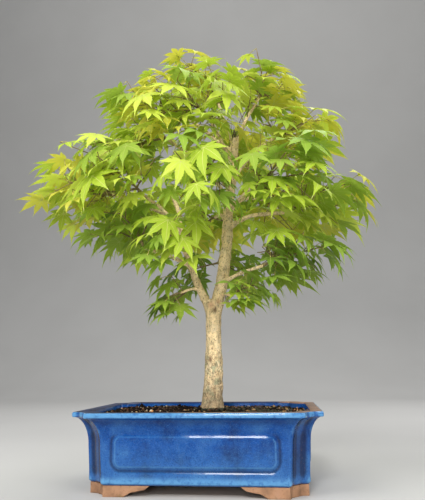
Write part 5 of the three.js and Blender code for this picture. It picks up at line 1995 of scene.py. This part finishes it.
class MAPLE_OT_stage(bpy.types.Operator):
    """Set up the pale floor, the soft studio light and the camera at the photograph's angle"""
    bl_idname = "maple.stage"
    bl_label = "Floor, light and camera"

    def execute(self, context):
        self.floor()
        self.world(context.scene)
        context.scene.view_settings.view_transform = "Standard"
        for name, place, target, size, power in LAMPS:
            self.lamp(name, place, target, size, power * context.scene.maple.light)
        self.camera(context.scene)
        return {"FINISHED"}

    def floor(self):
        """A pale floor that curves up behind into a backdrop."""
        profile = [(FLOOR_NEAR, 0)]
        profile += [(FLOOR_BEND_AT + FLOOR_BEND * math.sin(turn), FLOOR_BEND * (1 - math.cos(turn)))
                    for turn in np.linspace(0, math.pi / 2, 25)]
        profile.append((FLOOR_BEND_AT + FLOOR_BEND, BACKDROP_HEIGHT))
        corners = [(side * FLOOR_HALF_LENGTH, y, z) for y, z in profile for side in (-1, 1)]
        points = [vec(corner) * 1000 for corner in corners]
        faces = [(2 * row, 2 * row + 1, 2 * row + 3, 2 * row + 2) for row in range(len(profile) - 1)]
        floor = new_object("floor", np.array(points), faces)
        shades = Shades("floor")
        shades.color(shades.mix(shades.band(shades.noise(3, 2), 0.3, 0.7), *FLOOR_TONES))
        shades.set(Roughness=0.9)
        floor.data.materials.append(shades.material)

    def world(self, scene):
        world = bpy.data.worlds.new("studio")
        world.use_nodes = True
        background = world.node_tree.nodes["Background"]
        background.inputs["Color"].default_value = SKY_COLOR
        background.inputs["Strength"].default_value = SKY_STRENGTH
        scene.world = world

    def lamp(self, name, place, target, size, power):
        data = bpy.data.lights.new(name, "AREA")
        data.size = size
        data.energy = power
        lamp = bpy.data.objects.new(name, data)
        lamp.location = place
        lamp.rotation_euler = (Vector(target) - Vector(place)).to_track_quat("-Z", "Y").to_euler()
        bpy.context.scene.collection.objects.link(lamp)

    def camera(self, scene):
        data = bpy.data.cameras.new("camera")
        data.sensor_width = 36
        data.sensor_fit = "AUTO"
        data.lens = CAMERA_LENS
        camera = bpy.data.objects.new("camera", data)
        camera.location = Vector(in_frame([CAMERA_PLACE])[0])
        turn, tilt, roll = (math.radians(value) for value in (CAMERA_TURN, CAMERA_TILT, CAMERA_ROLL))
        forward = vec((-math.sin(turn) * math.cos(tilt), math.cos(turn) * math.cos(tilt), math.sin(tilt)))
        level = unit(np.cross(forward, UP))
        upright = np.cross(level, forward)
        right = math.cos(roll) * level + math.sin(roll) * upright
        top = -math.sin(roll) * level + math.cos(roll) * upright
        camera.rotation_euler = Matrix(np.column_stack([right, top, -forward])).to_euler()
        scene.collection.objects.link(camera)
        scene.camera = camera


class MAPLE_PT_panel(bpy.types.Panel):
    """The steps of the potted maple, and the sizes and colours that can be changed"""
    bl_idname = "MAPLE_PT_panel"
    bl_label = "Potted Maple"
    bl_space_type = "VIEW_3D"
    bl_region_type = "UI"
    bl_category = "Maple"

    def draw(self, context):
        settings = context.scene.maple
        groups = (("maple.pot", settings.pot), ("maple.soil", settings.soil), ("maple.wood", settings.wood),
                  ("maple.foliage", settings.leaves))
        for operator, group in groups:
            box = self.layout.box()
            box.operator(operator)
            for name in group.__annotations__:
                box.prop(group, name)
        self.layout.prop(settings, "light")
        self.layout.operator("maple.stage")


CLASSES = (MaplePotSettings, MapleBarkSettings, MapleLeafSettings, MapleSoilSettings, MapleSettings,
           MAPLE_OT_pot, MAPLE_OT_soil, MAPLE_OT_wood, MAPLE_OT_foliage, MAPLE_OT_stage, MAPLE_PT_panel)


def register():
    for entry in CLASSES:
        bpy.utils.register_class(entry)
    bpy.types.Scene.maple = PointerProperty(type=MapleSettings)


def unregister():
    del bpy.types.Scene.maple
    for entry in reversed(CLASSES):
        bpy.utils.unregister_class(entry)


def main():
    register()
    bpy.ops.maple.stage()
    bpy.ops.maple.pot()
    bpy.ops.maple.soil()
    bpy.ops.maple.wood()
    bpy.ops.maple.foliage()


if __name__ == "__main__":
    main()
